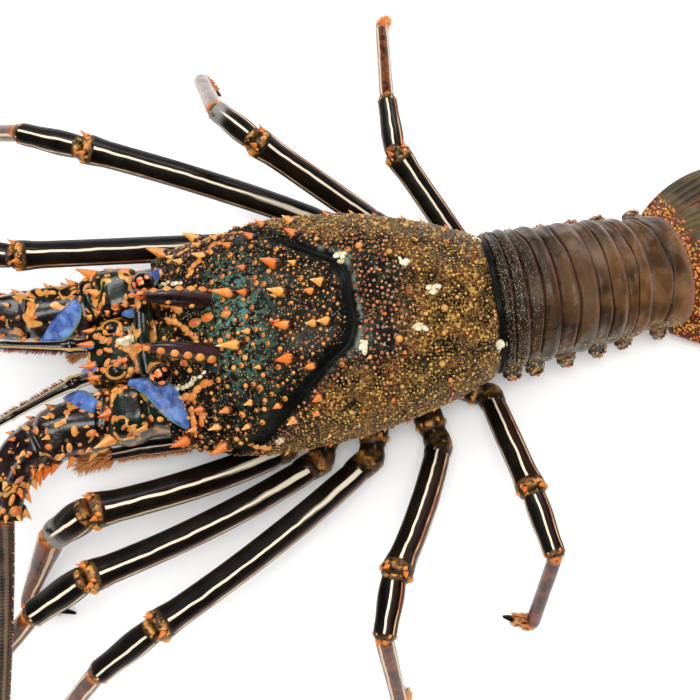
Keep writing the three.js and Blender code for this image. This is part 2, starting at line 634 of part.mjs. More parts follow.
function leg(number, name, side) {
  const pair = LEG_PAIRS[number];
  const pose = LEG_POSES[name][number];
  const [hip, knee, wrist, ankle, tip] = legJoints(pair, pose, side);
  const coxa = vector([pair.coxaX, side * pair.coxaY, COXA_HEIGHT]);
  const step = (a, b) => b.clone().sub(a).normalize();
  const kneeNormal = step(hip, knee).add(step(knee, wrist)).normalize();
  const wristNormal = step(knee, wrist).add(step(wrist, ankle)).normalize();
  const half = { startGap: GAP / 2, endGap: GAP / 2 };
  const r = {};
  for (const [place, radius] of Object.entries(LEG_RADII)) r[place] = radius * pair.thick;

  const rearward = new THREE.Vector3(0, 0, 1).cross(step(hip, knee)).normalize().multiplyScalar(-side);
  const merus = [0.12, 0.35, 0.65, 0.9].map((share) => {
    return hip.clone().lerp(knee, share).addScaledVector(rearward, 4 * share * (1 - share) * pose.bow);
  });
  const upperPath = [coxa, hip, ...merus, knee];
  const upper = limb(upperPath, [r.coxa, r.hip, r.hip, r.merus, r.merus, r.knee, r.knee * 0.94], {
    endNormal: kneeNormal, endGap: half.endGap,
  });
  const upperBody = wasm.Manifold.union([upper, ...kneeSpines(hip, knee, r.knee)]);
  const kneeOffset = kneeNormal.dot(knee) - GAP / 2;
  const trimmed = upperBody.trimByPlane(kneeNormal.clone().negate().toArray(), -kneeOffset);
  const clear = trimmed.subtract(grownSternum).subtract(grownCarapace);
  add(`leg_${number + 1}_upper_${name}`, clear, COLOURS.leg);

  const bulge = knee.clone().lerp(wrist, 0.35);
  const carpus = limb([knee, bulge, wrist], [r.carpus, r.carpus * 1.08, r.wrist], {
    startNormal: kneeNormal, endNormal: wristNormal, ...half,
  });
  add(`leg_${number + 1}_knee_${name}`, carpus, COLOURS.leg);

  const shank = [0.2, 0.85].map((share) => wrist.clone().lerp(ankle, share));
  const lowerPath = [wrist, ...shank, ankle, ankle.clone().lerp(tip, 0.5), tip];
  const lower = limb(lowerPath, [r.wrist * 0.9, r.propodus, r.propodus, r.ankle, r.ankle * 0.75, r.tip], {
    startNormal: wristNormal, startGap: half.startGap,
  });
  add(`leg_${number + 1}_lower_${name}`, lower.trimByPlane([0, 0, 1], 0), COLOURS.lowerLeg);
}

for (const [name, side] of Object.entries(SIDES)) {
  for (let number = 0; number < 5; number += 1) leg(number, name, side);
}

export default lobster;
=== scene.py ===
from collections import namedtuple

import bpy
import numpy as np
from mathutils import Matrix, Vector


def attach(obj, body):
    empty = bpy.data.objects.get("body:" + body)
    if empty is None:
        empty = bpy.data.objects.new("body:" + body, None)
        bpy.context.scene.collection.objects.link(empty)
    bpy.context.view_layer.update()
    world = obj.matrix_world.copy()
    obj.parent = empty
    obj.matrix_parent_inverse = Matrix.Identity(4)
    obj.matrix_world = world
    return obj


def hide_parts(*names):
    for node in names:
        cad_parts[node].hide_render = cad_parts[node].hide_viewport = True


MM = 0.001
FLOOR_GAP = 0.02  # the least height of any point
SEED = 2107
SIDES = {"left": -1, "right": 1}

# Camera of the photograph: where it stands, where it looks from in degrees, and its lens
CAMERA_PLACE = (-14.1, -132.6, 482.2)
CAMERA_AZIMUTH = -9.03
CAMERA_ELEVATION = 74.49
CAMERA_LENS = 61.7

# Carapace: half-width, height of its widest place and top height along x, from front to rear
CARAPACE_FRONT = -66
CARAPACE_REAR = 63
CARAPACE_EDGE = 18
CARAPACE_HALF_WIDTH = [
    (-66, 36), (-55, 40.5), (-40, 44), (-20, 45.5), (5, 44), (25, 40), (45, 34), (63, 26.5),
]
CARAPACE_BULGE = [(-66, 40), (-50, 35), (-25, 36), (10, 37), (35, 35), (63, 33)]
CARAPACE_TOP = [(-66, 51), (-50, 60), (-30, 66), (0, 69.5), (28, 68), (48, 63.5), (63, 57.5)]
CARAPACE_GIRTH = 40  # about how far its back lies from its long axis

# The cervical groove: its x at angles in degrees from the top, and its size
GROOVE_LINE = [
    (0, 7), (10, 7.5), (17, 6), (22, 3.5), (29, -4), (38, -12), (47, -18.5), (57, -25), (70, -31),
    (95, -46), (118, -58),
]
GROOVE_FRONT = 3.4  # width of its gentle front slope
GROOVE_BACK = 1.7  # and of its steep rear slope
GROOVE_DEPTH = 1.9
REAR_BAND = 61.2  # x where the smooth band before the rear edge begins
CARAPACE_ROWS = 230
CARAPACE_COLUMNS = 300

SHELL_SHADE = 0.72  # the share that the animal's colours keep, since the floor is lit very brightly
COAT_ROUGHNESS = 0.12  # of the clear coat over the shell

# Ridges of lumps on its front: x and degrees of both ends, number of lumps and their radius
ORANGE_RIDGES = [
    (-60, -38, -48, -28, 6, 1.6), (-56.5, -43, -56.5, -61, 7, 1.5), (-52.5, -45, -53.5, -53, 4, 1.4),
    (-47, -70, -46, -81, 3, 1.7), (-37, -79, -32, -80, 3, 1.8), (-50, 34, -40.5, 49, 6, 1.4),
    (-62, 20, -56, 13, 4, 1.7), (-60, 10, -51, -3, 6, 1.5), (-62, -8, -57, -14, 3, 1.5),
    (-50, 3, -38, 3, 3, 1.9), (-58, 56, -48, 60, 5, 1.4), (-44, 62, -30, 66, 6, 1.3),
]
CREAM_RIDGES = [(-64, 41, -54.5, 29, 7, 1.1), (-60, -29, -50, -23, 7, 1.1), (-65, -24, -60, -36, 4, 1.2)]

# Sternum
STERNUM_FRONT = -50
STERNUM_REAR = 57
STERNUM_HALF_WIDTH = [(-50, 9), (-25, 18), (10, 26), (40, 30), (57, 24)]
STERNUM_BOTTOM = [(-50, 8), (-38, 0), (40, 0), (57, 7)]

# Head: the antennular plate in the middle and the fixed antennal segments at its sides
HEAD_REAR = -65
HEAD_FRONT = -93
HEAD_HALF_WIDTH = [(-93, 31), (-84, 34), (-74, 31.5), (-66, 32)]
HEAD_TOP = [(-93, 46), (-80, 51), (-66, 51)]
HEAD_BOTTOM = [(-93, 25), (-66, 21)]
PLATE_HALF_WIDTH = 12
# The smooth dark dome on each antennal segment
DOME_X = -79.5
DOME_Y = 24
DOME_RADIUS = 5

# Eyes, which point out of line with each other: root and ball. The horns are alike on both sides.
EYE_PLACES = {
    "left": ((-69.5, -6.5, 50), (-65, -15.5, 60)),
    "right": ((-70, 8.5, 50), (-67.5, 20.5, 60)),
}
EYE_RADIUS = 4.4
EYE_SPOTS = [(-0.1, -0.1, 1, 0.4), (-0.75, -0.3, 0.75, 0.3), (0.45, 0.2, 0.8, 0.26), (0.1, -0.9, 0.6, 0.3)]
HORN_PATH = [(-43, 10.5, 56), (-51, 10.3, 65), (-60, 9.8, 73), (-70, 9.3, 80)]
HORN_RADII = [4.6, 3.7, 2.8, 0.4]

# Abdomen: joint planes between its rings as x, y, top, bottom, half-width, yaw and pitch
RING_JOINTS = np.array([
    (63.3, 1.2, 57, 17, 27, 0, 0), (71, 1.8, 56.5, 15, 27.2, 2, 0), (82.5, 2.6, 54.5, 13, 26.4, 3, -2),
    (97.5, 4.1, 49.5, 12, 25.6, 4, -5), (109.5, 5.4, 44, 11, 24.9, 4.5, -9),
    (120, 6.6, 38.5, 10, 24.2, 4.5, -14), (140, 8, 29.5, 9, 23, 4.5, -19),
])
RING_SAG = 2.5  # how far the rings bulge to the rear on top
PLEURON_REACH = {"left": 0.5, "right": 5}  # how far a side lobe reaches past its ring

# Tail fan blades: root against the last joint, heading, length, and outline by share of length
Blade = namedtuple("Blade", "root yaw pitch length half_width half_thick")
FAN_SPREAD = {"left": 0.5, "right": 1}  # share of a blade's yaw: the left blades are less spread
TELSON = Blade(
    (-1.5, 0, 19), 0, -13, 47.5,
    [(0, 10), (0.2, 13), (0.8, 15), (0.94, 12), (1, 6)], [(0, 4), (0.3, 2), (1, 0.9)],
)
INNER_BLADE = Blade(
    (-1.5, 11.5, 13.6), 11, -11, 49.5,
    [(0, 6), (0.3, 9.5), (0.7, 11.5), (0.93, 8.5), (1, 4)], [(0, 1.6), (1, 0.8)],
)
OUTER_BLADE = Blade(
    (-3, 18.5, 9.4), 22, -9.5, 52,
    [(0, 6), (0.25, 10.5), (0.5, 12.5), (0.75, 12), (0.93, 9), (1, 4.5)], [(0, 2.2), (1, 1)],
)
RIB_TURN = 26  # radians of the rib pattern from a blade's middle to its edge
FAN_GRANULES = 120  # on each blade

# Walking legs: coxa place, segment lengths and thickness of each pair, and each leg's pose: its hip,
# the yaws and pitches of its segments, and how far its merus bows to the rear
LEG_PAIRS = [
    ((-20, 15), (84, 20.5, 44, 20), 1.12),
    ((-1, 19), (103, 25, 48, 16), 1),
    ((15, 22), (109, 28, 49, 16), 1),
    ((31, 24), (68, 21.5, 46, 12), 1),
    ((46, 22), (54, 24.5, 51, 12), 0.95),
]
COXA_HEIGHT = 9
TIP_HEIGHT = 0.4
# Radius of each leg's carpus, and of its propodus at the wrist and at the ankle
LEG_GIRTHS = {
    "left": [(6.3, 5.2, 2.7), (5.5, 3.8, 3.1), (4.9, 3.5, 3.1), (4.8, 3.4, 3), (4.5, 2.8, 2.9)],
    "right": [(5.4, 3.8, 3.1), (4.9, 3.5, 3.1), (4.9, 3.5, 3.1), (4.8, 3.6, 3.2), (4.5, 3, 2.7)],
}
LEG_POSES = {
    "left": [
        ((-25.5, 40, 11), (165.5, 163.5, 137, 21), (26, -35.5, -51), 2),
        ((-12.5, 47.5, 13), (158.5, 158, 148.5, 132), (21, -20, -44), 2.7),
        ((7.5, 49.5, 13), (148, 153.5, 148, 141), (19.5, -21, -49.5), 2),
        ((35, 49, 14), (119, 109, 82, -50), (32, -2, -58.5), 1.5),
        ((59, 32, 12), (84.5, 83.5, 106, 202), (33.5, 8.5, -65), 0),
    ],
    "right": [
        ((-24, 31.5, 11), (178, 171, 169, 169), (2, -3, -7), 0),
        ((-22, 48, 9), (182, 165.5, 139, 118), (21, 0, -50), 0),
        ((9, 50, 11), (160.5, 153, 146, 146), (21, -10, -42), 1.5),
        ((27.5, 47, 11), (147.5, 128.5, 100, -32), (35, -8, -45.5, -45), 0),
        ((61.5, 27.5, 12), (119.5, 88, 82.5, 60), (21.5, -2, -25.5, -38), 0),
    ],
}

GREY_SHANKS = ((0, "left"), (3, "right"))  # the legs with a worn grey shank

# Antennae: paths of the stout stem and of the long lash
STEM_PATHS = {
    "left": [(-92, -23.5, 36.5), (-108, -26, 38), (-122, -31, 37), (-129, -42, 36), (-132, -54.5, 34)],
    "right": [(-92, 21, 36.5), (-108, 21.5, 38), (-124, 23, 39), (-137, 26, 39.5), (-149.5, 31.3, 39)],
}
STEM_LUMPS = {"left": 58, "right": 26}
STEM_RADII = [10.6, 10.4, 9, 7.6, 6]
LASH_PATHS = {
    "left": [
        (-132, -54, 34), (-132, -84, 41), (-135, -119, 44), (-142, -160, 42),
        (-146, -205, 36), (-142, -255, 29), (-130, -300, 23), (-112, -340, 18),
    ],
    "right": [
        (-149, 31, 39), (-174, 50, 38), (-196, 80, 37), (-211, 116, 35),
        (-217, 158, 31), (-214, 202, 27), (-203, 245, 23), (-186, 285, 20),
    ],
}
LASH_RADII = [3.6, 2.6, 2.3, 2, 1.8, 1.5, 1.2, 0.7]

ANTENNULE_PATHS = {
    "left": [(-92, -6.5, 42), (-101, -9.5, 44), (-126, -21, 50), (-142, -29, 53)],
    "right": [(-92, 5, 42), (-100, 5.5, 44), (-125, 8.5, 50), (-142, 12, 53)],
}
ANTENNULE_RADII = [3, 1.8, 1.5, 1.5]
THREAD_LENGTH = 34
THREAD_SPREAD = 7

MAXILLIPED_PATHS = {
    "left": [(-36, -8, 9), (-56, -29, 11), (-84, -32.5, 18), (-101, -33.5, 18), (-106, -34, 16)],
    "right": [(-36, 8, 9), (-58, 13, 10), (-82, 13, 14), (-101, 12, 16), (-106, 10, 14)],
}
MAXILLIPED_RADII = [4.2, 4, 3.4, 2.8, 1.2]
BRUSH_LENGTHS = {"left": (2.5, 5.5), "right": (1.2, 2.6)}  # of their bristles, matted on the right

# Spines of the carapace: x, degrees from the top, length and root radius, on both sides
LARGE_SPINES = [
    (-35, 12, 10, 2.3), (-17, 7.5, 7, 2.2), (-18, 22.5, 7, 2.4), (-2.5, 9, 5.5, 2), (-4, 24, 5.5, 2.2),
    (-60, 73, 8, 2.6), (-62, 48, 6.5, 2.4), (-46.5, 73, 7.5, 2.6), (-35.5, 73, 5, 2.2),
]
# Rows of smaller spines: degrees from the top, first x, last x, spacing and length
SPINE_ROWS = [
    (7, -30, 0, 14, 4), (25, -28, -6, 11, 4), (45, -52, 0, 11, 4.4), (58, -55, -10, 11, 4.4),
    (10, 20, 54, 16, 2.2), (34, 12, 52, 15, 2.2), (60, 5, 52, 14, 2.2), (73, -25, 50, 12, 2.2),
    (92, -54, 50, 12, 2.2),
]
SPINE_LEAN = 0.75  # how far a spine leans forward, against its rise

# Large pale marks of the carapace: x, degrees from the top and radius
PALE_MARKS = [
    (29, 17, 1.6), (30.5, -20, 1.6), (38, -1, 1.9), (60, 53, 1.8), (61, -50, 2.2), (6, 22, 1.8),
    (9, -24, 1.9), (-27, -72, 1.7), (-27, 72, 1.7),
]

# Knobs on a horn: share of its length, degrees from its top, radius and tint
HORN_KNOBS = [
    (0.2, 48, 1.7, 0.2), (0.34, 48, 1.7, 0.6), (0.48, 48, 1.6, 0.3), (0.62, 48, 1.5, 0.7),
    (0.76, 48, 1.4, 0.1), (0.9, 48, 1.2, 0.5), (0.34, -70, 1.1, 0.8), (0.62, -64, 1, 0.4),
    (0.985, 20, 1.1, 0),
]
EYE_STALK_RADII = [(0, 3.8), (0.4, 3.2), (0.75, 3.3), (0.92, 3.9), (1, 3.2)]
OCULAR_BAR = [(-70.5, -13, 53), (-71, 0, 54.5), (-70.5, 13, 53)]

# Spines of the antennular plate on both sides: x, y, length and radius; and its pale patch as x, y
PLATE_SPINES = [(-90, 4, 7, 1.9), (-89, 9, 5.5, 1.7), (-78, 5, 4, 1.5), (-83, 8, 3, 1.2)]
PLATE_PATCH = [(-79, 2.6), (-76.5, 3.4), (-74, 2.9), (-77.5, 1.4)]
# Large spines of the antennal segments: x, y, z, length and radius
BASE_SPINES = [(-87, 31.5, 43, 9, 3), (-86, 23, 48, 6, 2.2), (-74, 30, 47, 5, 2), (-80, 32, 44, 4.5, 1.8)]
# Rows of spines along a stem: degrees from the top, number and length
STEM_SPINE_ROWS = [(-100, 8, 5.6), (-66, 6, 4.2), (-20, 5, 3.2), (28, 5, 2.6), (80, 7, 3)]
LASH_RINGS = 5.2  # radians of a lash's ring pattern for each mm

# Blue skin between the plates of the head: path, half-widths along it and half of its thickness
MEMBRANES = {
    "stem_right": (
        [(-112, 8.2, 41), (-106, 10.9, 44), (-100, 14.4, 46.4), (-96.4, 18.6, 47.6), (-95.4, 22, 47.8)],
        [1.2, 2.8, 5.0, 4.6, 1.6], 1.7,
    ),
    "stem_left": ([(-105, -12.5, 38), (-98.5, -15.8, 43.4), (-91.5, -20.5, 47.2)], [0.6, 4.2, 2.6], 1.7),
    "eye_left": (
        [(-78, -14, 51.5), (-70, -17.5, 51.5), (-64.5, -22.5, 50), (-60.5, -28.5, 48.2), (-58, -34, 44)],
        [1.2, 3.6, 5.6, 4.6, 0.8], 1.8,
    ),
    "eye_right": ([(-74, 20, 50.5), (-67, 24, 50), (-62, 29.5, 48)], [0.6, 3.2, 0.8], 1.6),
    "plate_right": ([(-95, 4.5, 44.5), (-91, 3.4, 46.8), (-87, 3, 48.6)], [0.8, 1.8, 0.6], 0.9),
    "plate_left": ([(-96, -5, 43.5), (-91, -5.8, 46.8), (-87, -6, 48.6)], [0.8, 2.2, 0.8], 0.9),
    "brow_right": ([(-78, 12.6, 51.4), (-73.5, 12.4, 51.6), (-70, 12, 51)], [0.6, 1.9, 0.6], 0.9),
}

# Radii along a leg's root and claw, and along its knee segment as shares of the segment's own radius
COXA_RADII = [(0, 6.3), (0.3, 6.1), (0.52, 5.8), (0.6, 5.0), (0.68, 5.5), (0.9, 5.4), (1, 4.8)]
CARPUS_SHAPE = [(0, 0.8), (0.06, 0.93), (0.35, 1.03), (0.7, 0.92), (0.9, 0.9), (1, 0.72)]
CLAW_RADII = [(0, 2.5), (0.1, 2.6), (0.5, 1.9), (0.8, 1.15), (1, 0.5)]
KNEE_REACH = 6  # length of the swelling before the knee
REAR_LEGS = 3  # the number of the first leg with the rear legs' stripes, counted from 0

# Radii along a tail ring's side lobe, and along the line on which its knobs stand
PLEURON_RADII = [(0, 4.8), (0.5, 4.2), (0.85, 2.9), (1, 1.2)]
PLEURON_KNOB_LINE = [(0, 3.4), (0.5, 3.0), (0.85, 2.2), (1, 0.8)]
PLEURON_KNOBS = 34
STERNUM_FURROWS = [-28, -10, 7, 23, 38]

# Profiles of spines, granules and bristles, as height and radius shares from the sunk root to the tip
SPINE_PROFILE = [(-0.25, 1.12), (0.06, 1), (0.2, 0.82), (0.45, 0.55), (0.75, 0.27), (0.93, 0.09)]
GRANULE_PROFILE = [(-0.5, 1), (0.2, 0.96), (0.62, 0.72), (0.92, 0.32)]
GRAIN_PROFILE = [(-0.4, 1), (0.3, 0.92), (0.82, 0.5)]
TUFT_PROFILE = [(-0.12, 1), (0.35, 0.85), (0.75, 0.5)]
TUFT_PATCH = 0.003  # size of a tuft's place on its map

# Stage: half the floor's side in metres, the sky's colour and strength, and the lamps with their
# place in metres, width, power and colour
FLOOR_REACH = 3.0
SKY_COLOUR = (1.0, 0.985, 0.96, 1)
SKY_STRENGTH = 1.38
LAMPS = [
    ("key", (-0.06, -0.2, 1.15), 0.45, 5.2, (1.0, 0.98, 0.95)),
    ("side", (-0.3, 0.6, 0.8), 0.4, 3.2, (0.97, 0.98, 1.0)),
    ("back", (0.5, 0.55, 0.5), 0.3, 1.5, (1.0, 1.0, 1.0)),
]

Part = namedtuple("Part", "points quads tris marks")
Limb = namedtuple("Limb", "path table side")


# Curves and directions

def along(table, x):
    """A smooth curve through a short table of (place, value) pairs."""
    places, values = np.array(table, float).T
    last = len(places) - 1
    number = np.arange(last + 1)
    before = np.maximum(number - 1, 0)
    after = np.minimum(number + 1, last)
    slope = (values[after] - values[before]) / (places[after] - places[before])
    x = np.asarray(x, float)
    i = np.searchsorted(places[1:last], x)
    span = places[i + 1] - places[i]
    t = np.clip((x - places[i]) / span, 0, 1)
    fall = 2 * t**3 - 3 * t**2 + 1
    start = t**3 - 2 * t**2 + t
    end = t**3 - t**2
    return fall * values[i] + (1 - fall) * values[i + 1] + span * (start * slope[i] + end * slope[i + 1])


def signed_power(value, power):
    """A power that keeps the sign, for rounded box sections."""
    return np.sign(value) * np.abs(value) ** power


def unit(vectors):
    """The same directions at length 1."""
    vectors = np.asarray(vectors, float)
    return vectors / np.maximum(np.linalg.norm(vectors, axis=-1, keepdims=True), 1e-9)


def heading(yaw, pitch):
    """The direction of a yaw and a pitch in degrees."""
    yaw, pitch = np.radians(yaw), np.radians(pitch)
    return np.array([np.cos(pitch) * np.cos(yaw), np.cos(pitch) * np.sin(yaw), np.sin(pitch)])


def bell(distance, width):
    """1 at distance 0, falling smoothly to 0 past the width."""
    return np.exp(-((np.asarray(distance, float) / width) ** 2))


def step(value, low, high):
    """0 below low, 1 above high and smooth between."""
    t = np.clip((np.asarray(value, float) - low) / (high - low), 0, 1)
    return t * t * (3 - 2 * t)


def smooth(points, count):
    """A smooth path of count steps through a few points."""
    points = np.array(points, float)
    ends = np.vstack([2 * points[0] - points[1], points, 2 * points[-1] - points[-2]])
    place = np.linspace(0, len(points) - 1, count + 1)
    i = np.minimum(place.astype(int), len(points) - 2)
    t = (place - i)[:, None]
    a, b, c, d = (ends[i + k] for k in range(4))
    gaps = [np.linalg.norm(q - p, axis=1)[:, None] ** 0.5 for p, q in ((a, b), (b, c), (c, d))]
    leave = ((b - a) / gaps[0] - (c - a) / (gaps[0] + gaps[1]) + (c - b) / gaps[1]) * gaps[1]
    arrive = ((c - b) / gaps[1] - (d - b) / (gaps[1] + gaps[2]) + (d - c) / gaps[2]) * gaps[1]
    fall = 2 * t**3 - 3 * t**2 + 1
    return fall * b + (1 - fall) * c + (t**3 - 2 * t**2 + t) * leave + (t**3 - t**2) * arrive


def straight(points, count):
    """A path of about count steps along straight lines through the points."""
    points = np.array(points, float)
    lengths = np.r_[0, np.cumsum(np.linalg.norm(np.diff(points, axis=0), axis=1))]
    places = np.linspace(0, lengths[-1], count + 1)
    return np.stack([np.interp(places, lengths, points[:, k]) for k in range(3)], 1)


def share_of(path):
    """How far along a path each of its points lies, from 0 to 1."""
    lengths = np.r_[0, np.cumsum(np.linalg.norm(np.diff(path, axis=0), axis=1))]
    return lengths / lengths[-1]


def carried_frames(path):
    """The forward, upward and sideways directions along a path, carried without twist."""
    steps = unit(np.diff(path, axis=0))
    forward = unit(np.vstack([steps[:1], steps[:-1] + steps[1:], steps[-1:]]))
    up = np.array([0, 0, 1.0]) if abs(forward[0, 2]) < 0.9 else np.array([1.0, 0, 0])
    ups = []
    for direction in forward:
        up = unit(up - direction * (up @ direction))
        ups.append(up)
    ups = np.array(ups)
    return forward, ups, np.cross(forward, ups)


# Meshes in the making

def triangles(part):
    """A part's faces as triangles of point numbers, and where their three corners are."""
    tris = np.vstack([part.quads[:, [0, 1, 2]], part.quads[:, [0, 2, 3]], part.tris])
    return tris, [part.points[tris[:, k]] for k in range(3)]


def outward(part):
    """The part with its faces turned outward, by the sign of its volume."""
    _, (a, b, c) = triangles(part)
    if np.einsum("ij,ij->", a, np.cross(b, c)) >= 0:
        return part
    return part._replace(quads=part.quads[:, ::-1], tris=part.tris[:, ::-1])


def round_grid(shares, sides):
    """Grids of the shares and of the angles once round."""
    return np.meshgrid(shares, np.linspace(0, 2 * np.pi, sides, endpoint=False), indexing="ij")


def grid_part(points, marks):
    """A closed part from a grid of points, whose rows are rings and whose ends are filled."""
    rows, columns = points.shape[:2]
    number = np.arange(rows * columns).reshape(rows, columns)
    ring = np.concatenate([number, number[:, :1]], 1)
    quads = np.stack([ring[:-1, :-1], ring[:-1, 1:], ring[1:, 1:], ring[1:, :-1]], -1).reshape(-1, 4)
    start, end = ring[0], ring[-1]
    hub = np.full(columns, rows * columns)
    tris = np.vstack([np.stack([hub, start[1:], start[:-1]], 1), np.stack([hub + 1, end[:-1], end[1:]], 1)])
    flat = np.vstack([points.reshape(-1, 3), points[0].mean(0), points[-1].mean(0)])
    marks = {name: np.broadcast_to(value, (rows, columns)).reshape(-1) for name, value in marks.items()}
    marks = {name: np.r_[value, value[0], value[-1]] for name, value in marks.items()}
    return outward(Part(flat, quads, tris, marks))


def joined(parts):
    """Several parts as one, with the marks that any of them has."""
    names = sorted({name for part in parts for name in part.marks})
    starts = np.r_[0, np.cumsum([len(part.points) for part in parts])]
    return Part(
        np.vstack([part.points for part in parts]),
        np.vstack([part.quads + start for part, start in zip(parts, starts)]),
        np.vstack([part.tris + start for part, start in zip(parts, starts)]),
        {n: np.concatenate([p.marks.get(n, np.zeros(len(p.points))) for p in parts]) for n in names},
    )


def tube(path, radius, sides, mirror=1, **marks):
    """A tube round a path. radius(share, angle) gives its reach across and up; angle 0 is on top."""
    _, ups, sideways = carried_frames(path)
    share, angle = round_grid(share_of(path), sides)
    across, rise = radius(share, angle)
    points = path[:, None] + mirror * across[..., None] * sideways[:, None] + rise[..., None] * ups[:, None]
    made = {"share": share, "top": np.cos(angle), "side": np.sin(angle)}
    made.update({name: value(share, angle) if callable(value) else value for name, value in marks.items()})
    return grid_part(points, made)


def round_tube(path, table, sides, **more):
    """A round tube whose radius follows a table along its length."""
    def radius(share, angle):
        reach = along(table, share)
        return reach * np.sin(angle), reach * np.cos(angle)
    return tube(path, radius, sides, **more)


def even_table(values):
    """A table that spreads values evenly from 0 to 1."""
    return [(i / (len(values) - 1), value) for i, value in enumerate(values)]


def spikes(feet, aims, radii, heights, profile, sides, bend=0.0, stretch=1.0, ahead=(-1.0, 0, 0), **marks):
    """Many spines or granules at once. bend leans their tips ahead; stretch makes them longer that way."""
    feet, aims = np.asarray(feet, float), unit(aims)
    count, rings = len(feet), len(profile)
    ahead = np.broadcast_to(ahead, aims.shape)
    ahead = unit(ahead - aims * np.sum(aims * ahead, 1)[:, None])
    across = np.cross(aims, ahead)
    level, width = np.array(profile).T[:, None, :, None]
    tall = np.asarray(heights)[:, None, None]
    angle = np.linspace(0, 2 * np.pi, sides, endpoint=False)
    height = level * tall
    reach = width * np.asarray(radii)[:, None, None]
    forth = stretch * reach * np.cos(angle) + bend * np.maximum(level, 0) ** 2 * tall
    points = (
        feet[:, None, None] + aims[:, None, None] * height[..., None]
        + ahead[:, None, None] * forth[..., None]
        + across[:, None, None] * (reach * np.sin(angle))[..., None]
    )
    tips = feet + aims * tall[:, 0] + ahead * (bend * tall[:, 0])
    block = rings * sides + 1
    ring = np.arange(rings * sides).reshape(rings, sides)
    after = np.roll(ring, -1, 1)
    quads = np.stack([ring[:-1], after[:-1], after[1:], ring[1:]], -1).reshape(-1, 4)
    top = np.stack([ring[-1], after[-1], np.full(sides, rings * sides)], 1)
    bottom = np.stack([np.zeros(sides - 2, int), ring[0, 2:], ring[0, 1:-1]], 1)
    tris = np.vstack([top, bottom])
    shift = (np.arange(count) * block)[:, None, None]
    flat = np.concatenate([points.reshape(count, -1, 3), tips[:, None]], 1).reshape(-1, 3)
    tip = np.r_[np.repeat(np.clip(level.ravel(), 0, 1), sides), 1.0]
    made = {"tip": np.tile(tip, count)}
    made.update({name: np.repeat(np.broadcast_to(value, count), block) for name, value in marks.items()})
    return outward(Part(flat, (quads + shift).reshape(-1, 4), (tris + shift).reshape(-1, 3), made))


def place(name, part, material, slot, replaces=(), patches=None):
    """Makes a piece from a part with its finish, and hides the solids that it stands for. The slot is not
    used.
    """
    mesh = bpy.data.meshes.new(name)
    points = part.points * [1, 1, 0] + np.maximum(part.points, FLOOR_GAP) * [0, 0, 1]
    mesh.from_pydata((points * MM).tolist(), [], part.quads.tolist() + part.tris.tolist())
    mesh.shade_smooth()
    for mark, values in part.marks.items():
        layer = mesh.attributes.new(mark, "FLOAT", "POINT")
        layer.data.foreach_set("value", values.astype(np.float32))
    mesh.materials.append(material)
    if patches is not None:
        corners = np.zeros(len(mesh.loops), np.int32)
        mesh.loops.foreach_get("vertex_index", corners)
        bake = mesh.uv_layers.new(name="OFBake")
        bake.data.foreach_set("uv", patches[corners].astype(np.float32).ravel())
    piece = bpy.data.objects.new(name, mesh)
    bpy.context.scene.collection.objects.link(piece)
    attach(piece, "root")
    if replaces:
        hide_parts(*replaces)


# Finishes

def rgb(code):
    """A colour written as #rrggbb, in linear light."""
    shares = [int(code[i : i + 2], 16) / 255 for i in (1, 3, 5)]
    return [s / 12.92 if s < 0.04045 else ((s + 0.055) / 1.055) ** 2.4 for s in shares]


class Signal:
    """What a shader node gives. It adds to, subtracts from and multiplies numbers and other signals."""

    def __init__(self, finish, socket):
        self.finish = finish
        self.socket = socket

    def __add__(self, other):
        return self.finish.math("ADD", self, other)

    def __sub__(self, other):
        return self.finish.math("SUBTRACT", self, other)

    def __rsub__(self, other):
        return self.finish.math("SUBTRACT", other, self)

    def __mul__(self, other):
        return self.finish.math("MULTIPLY", self, other)


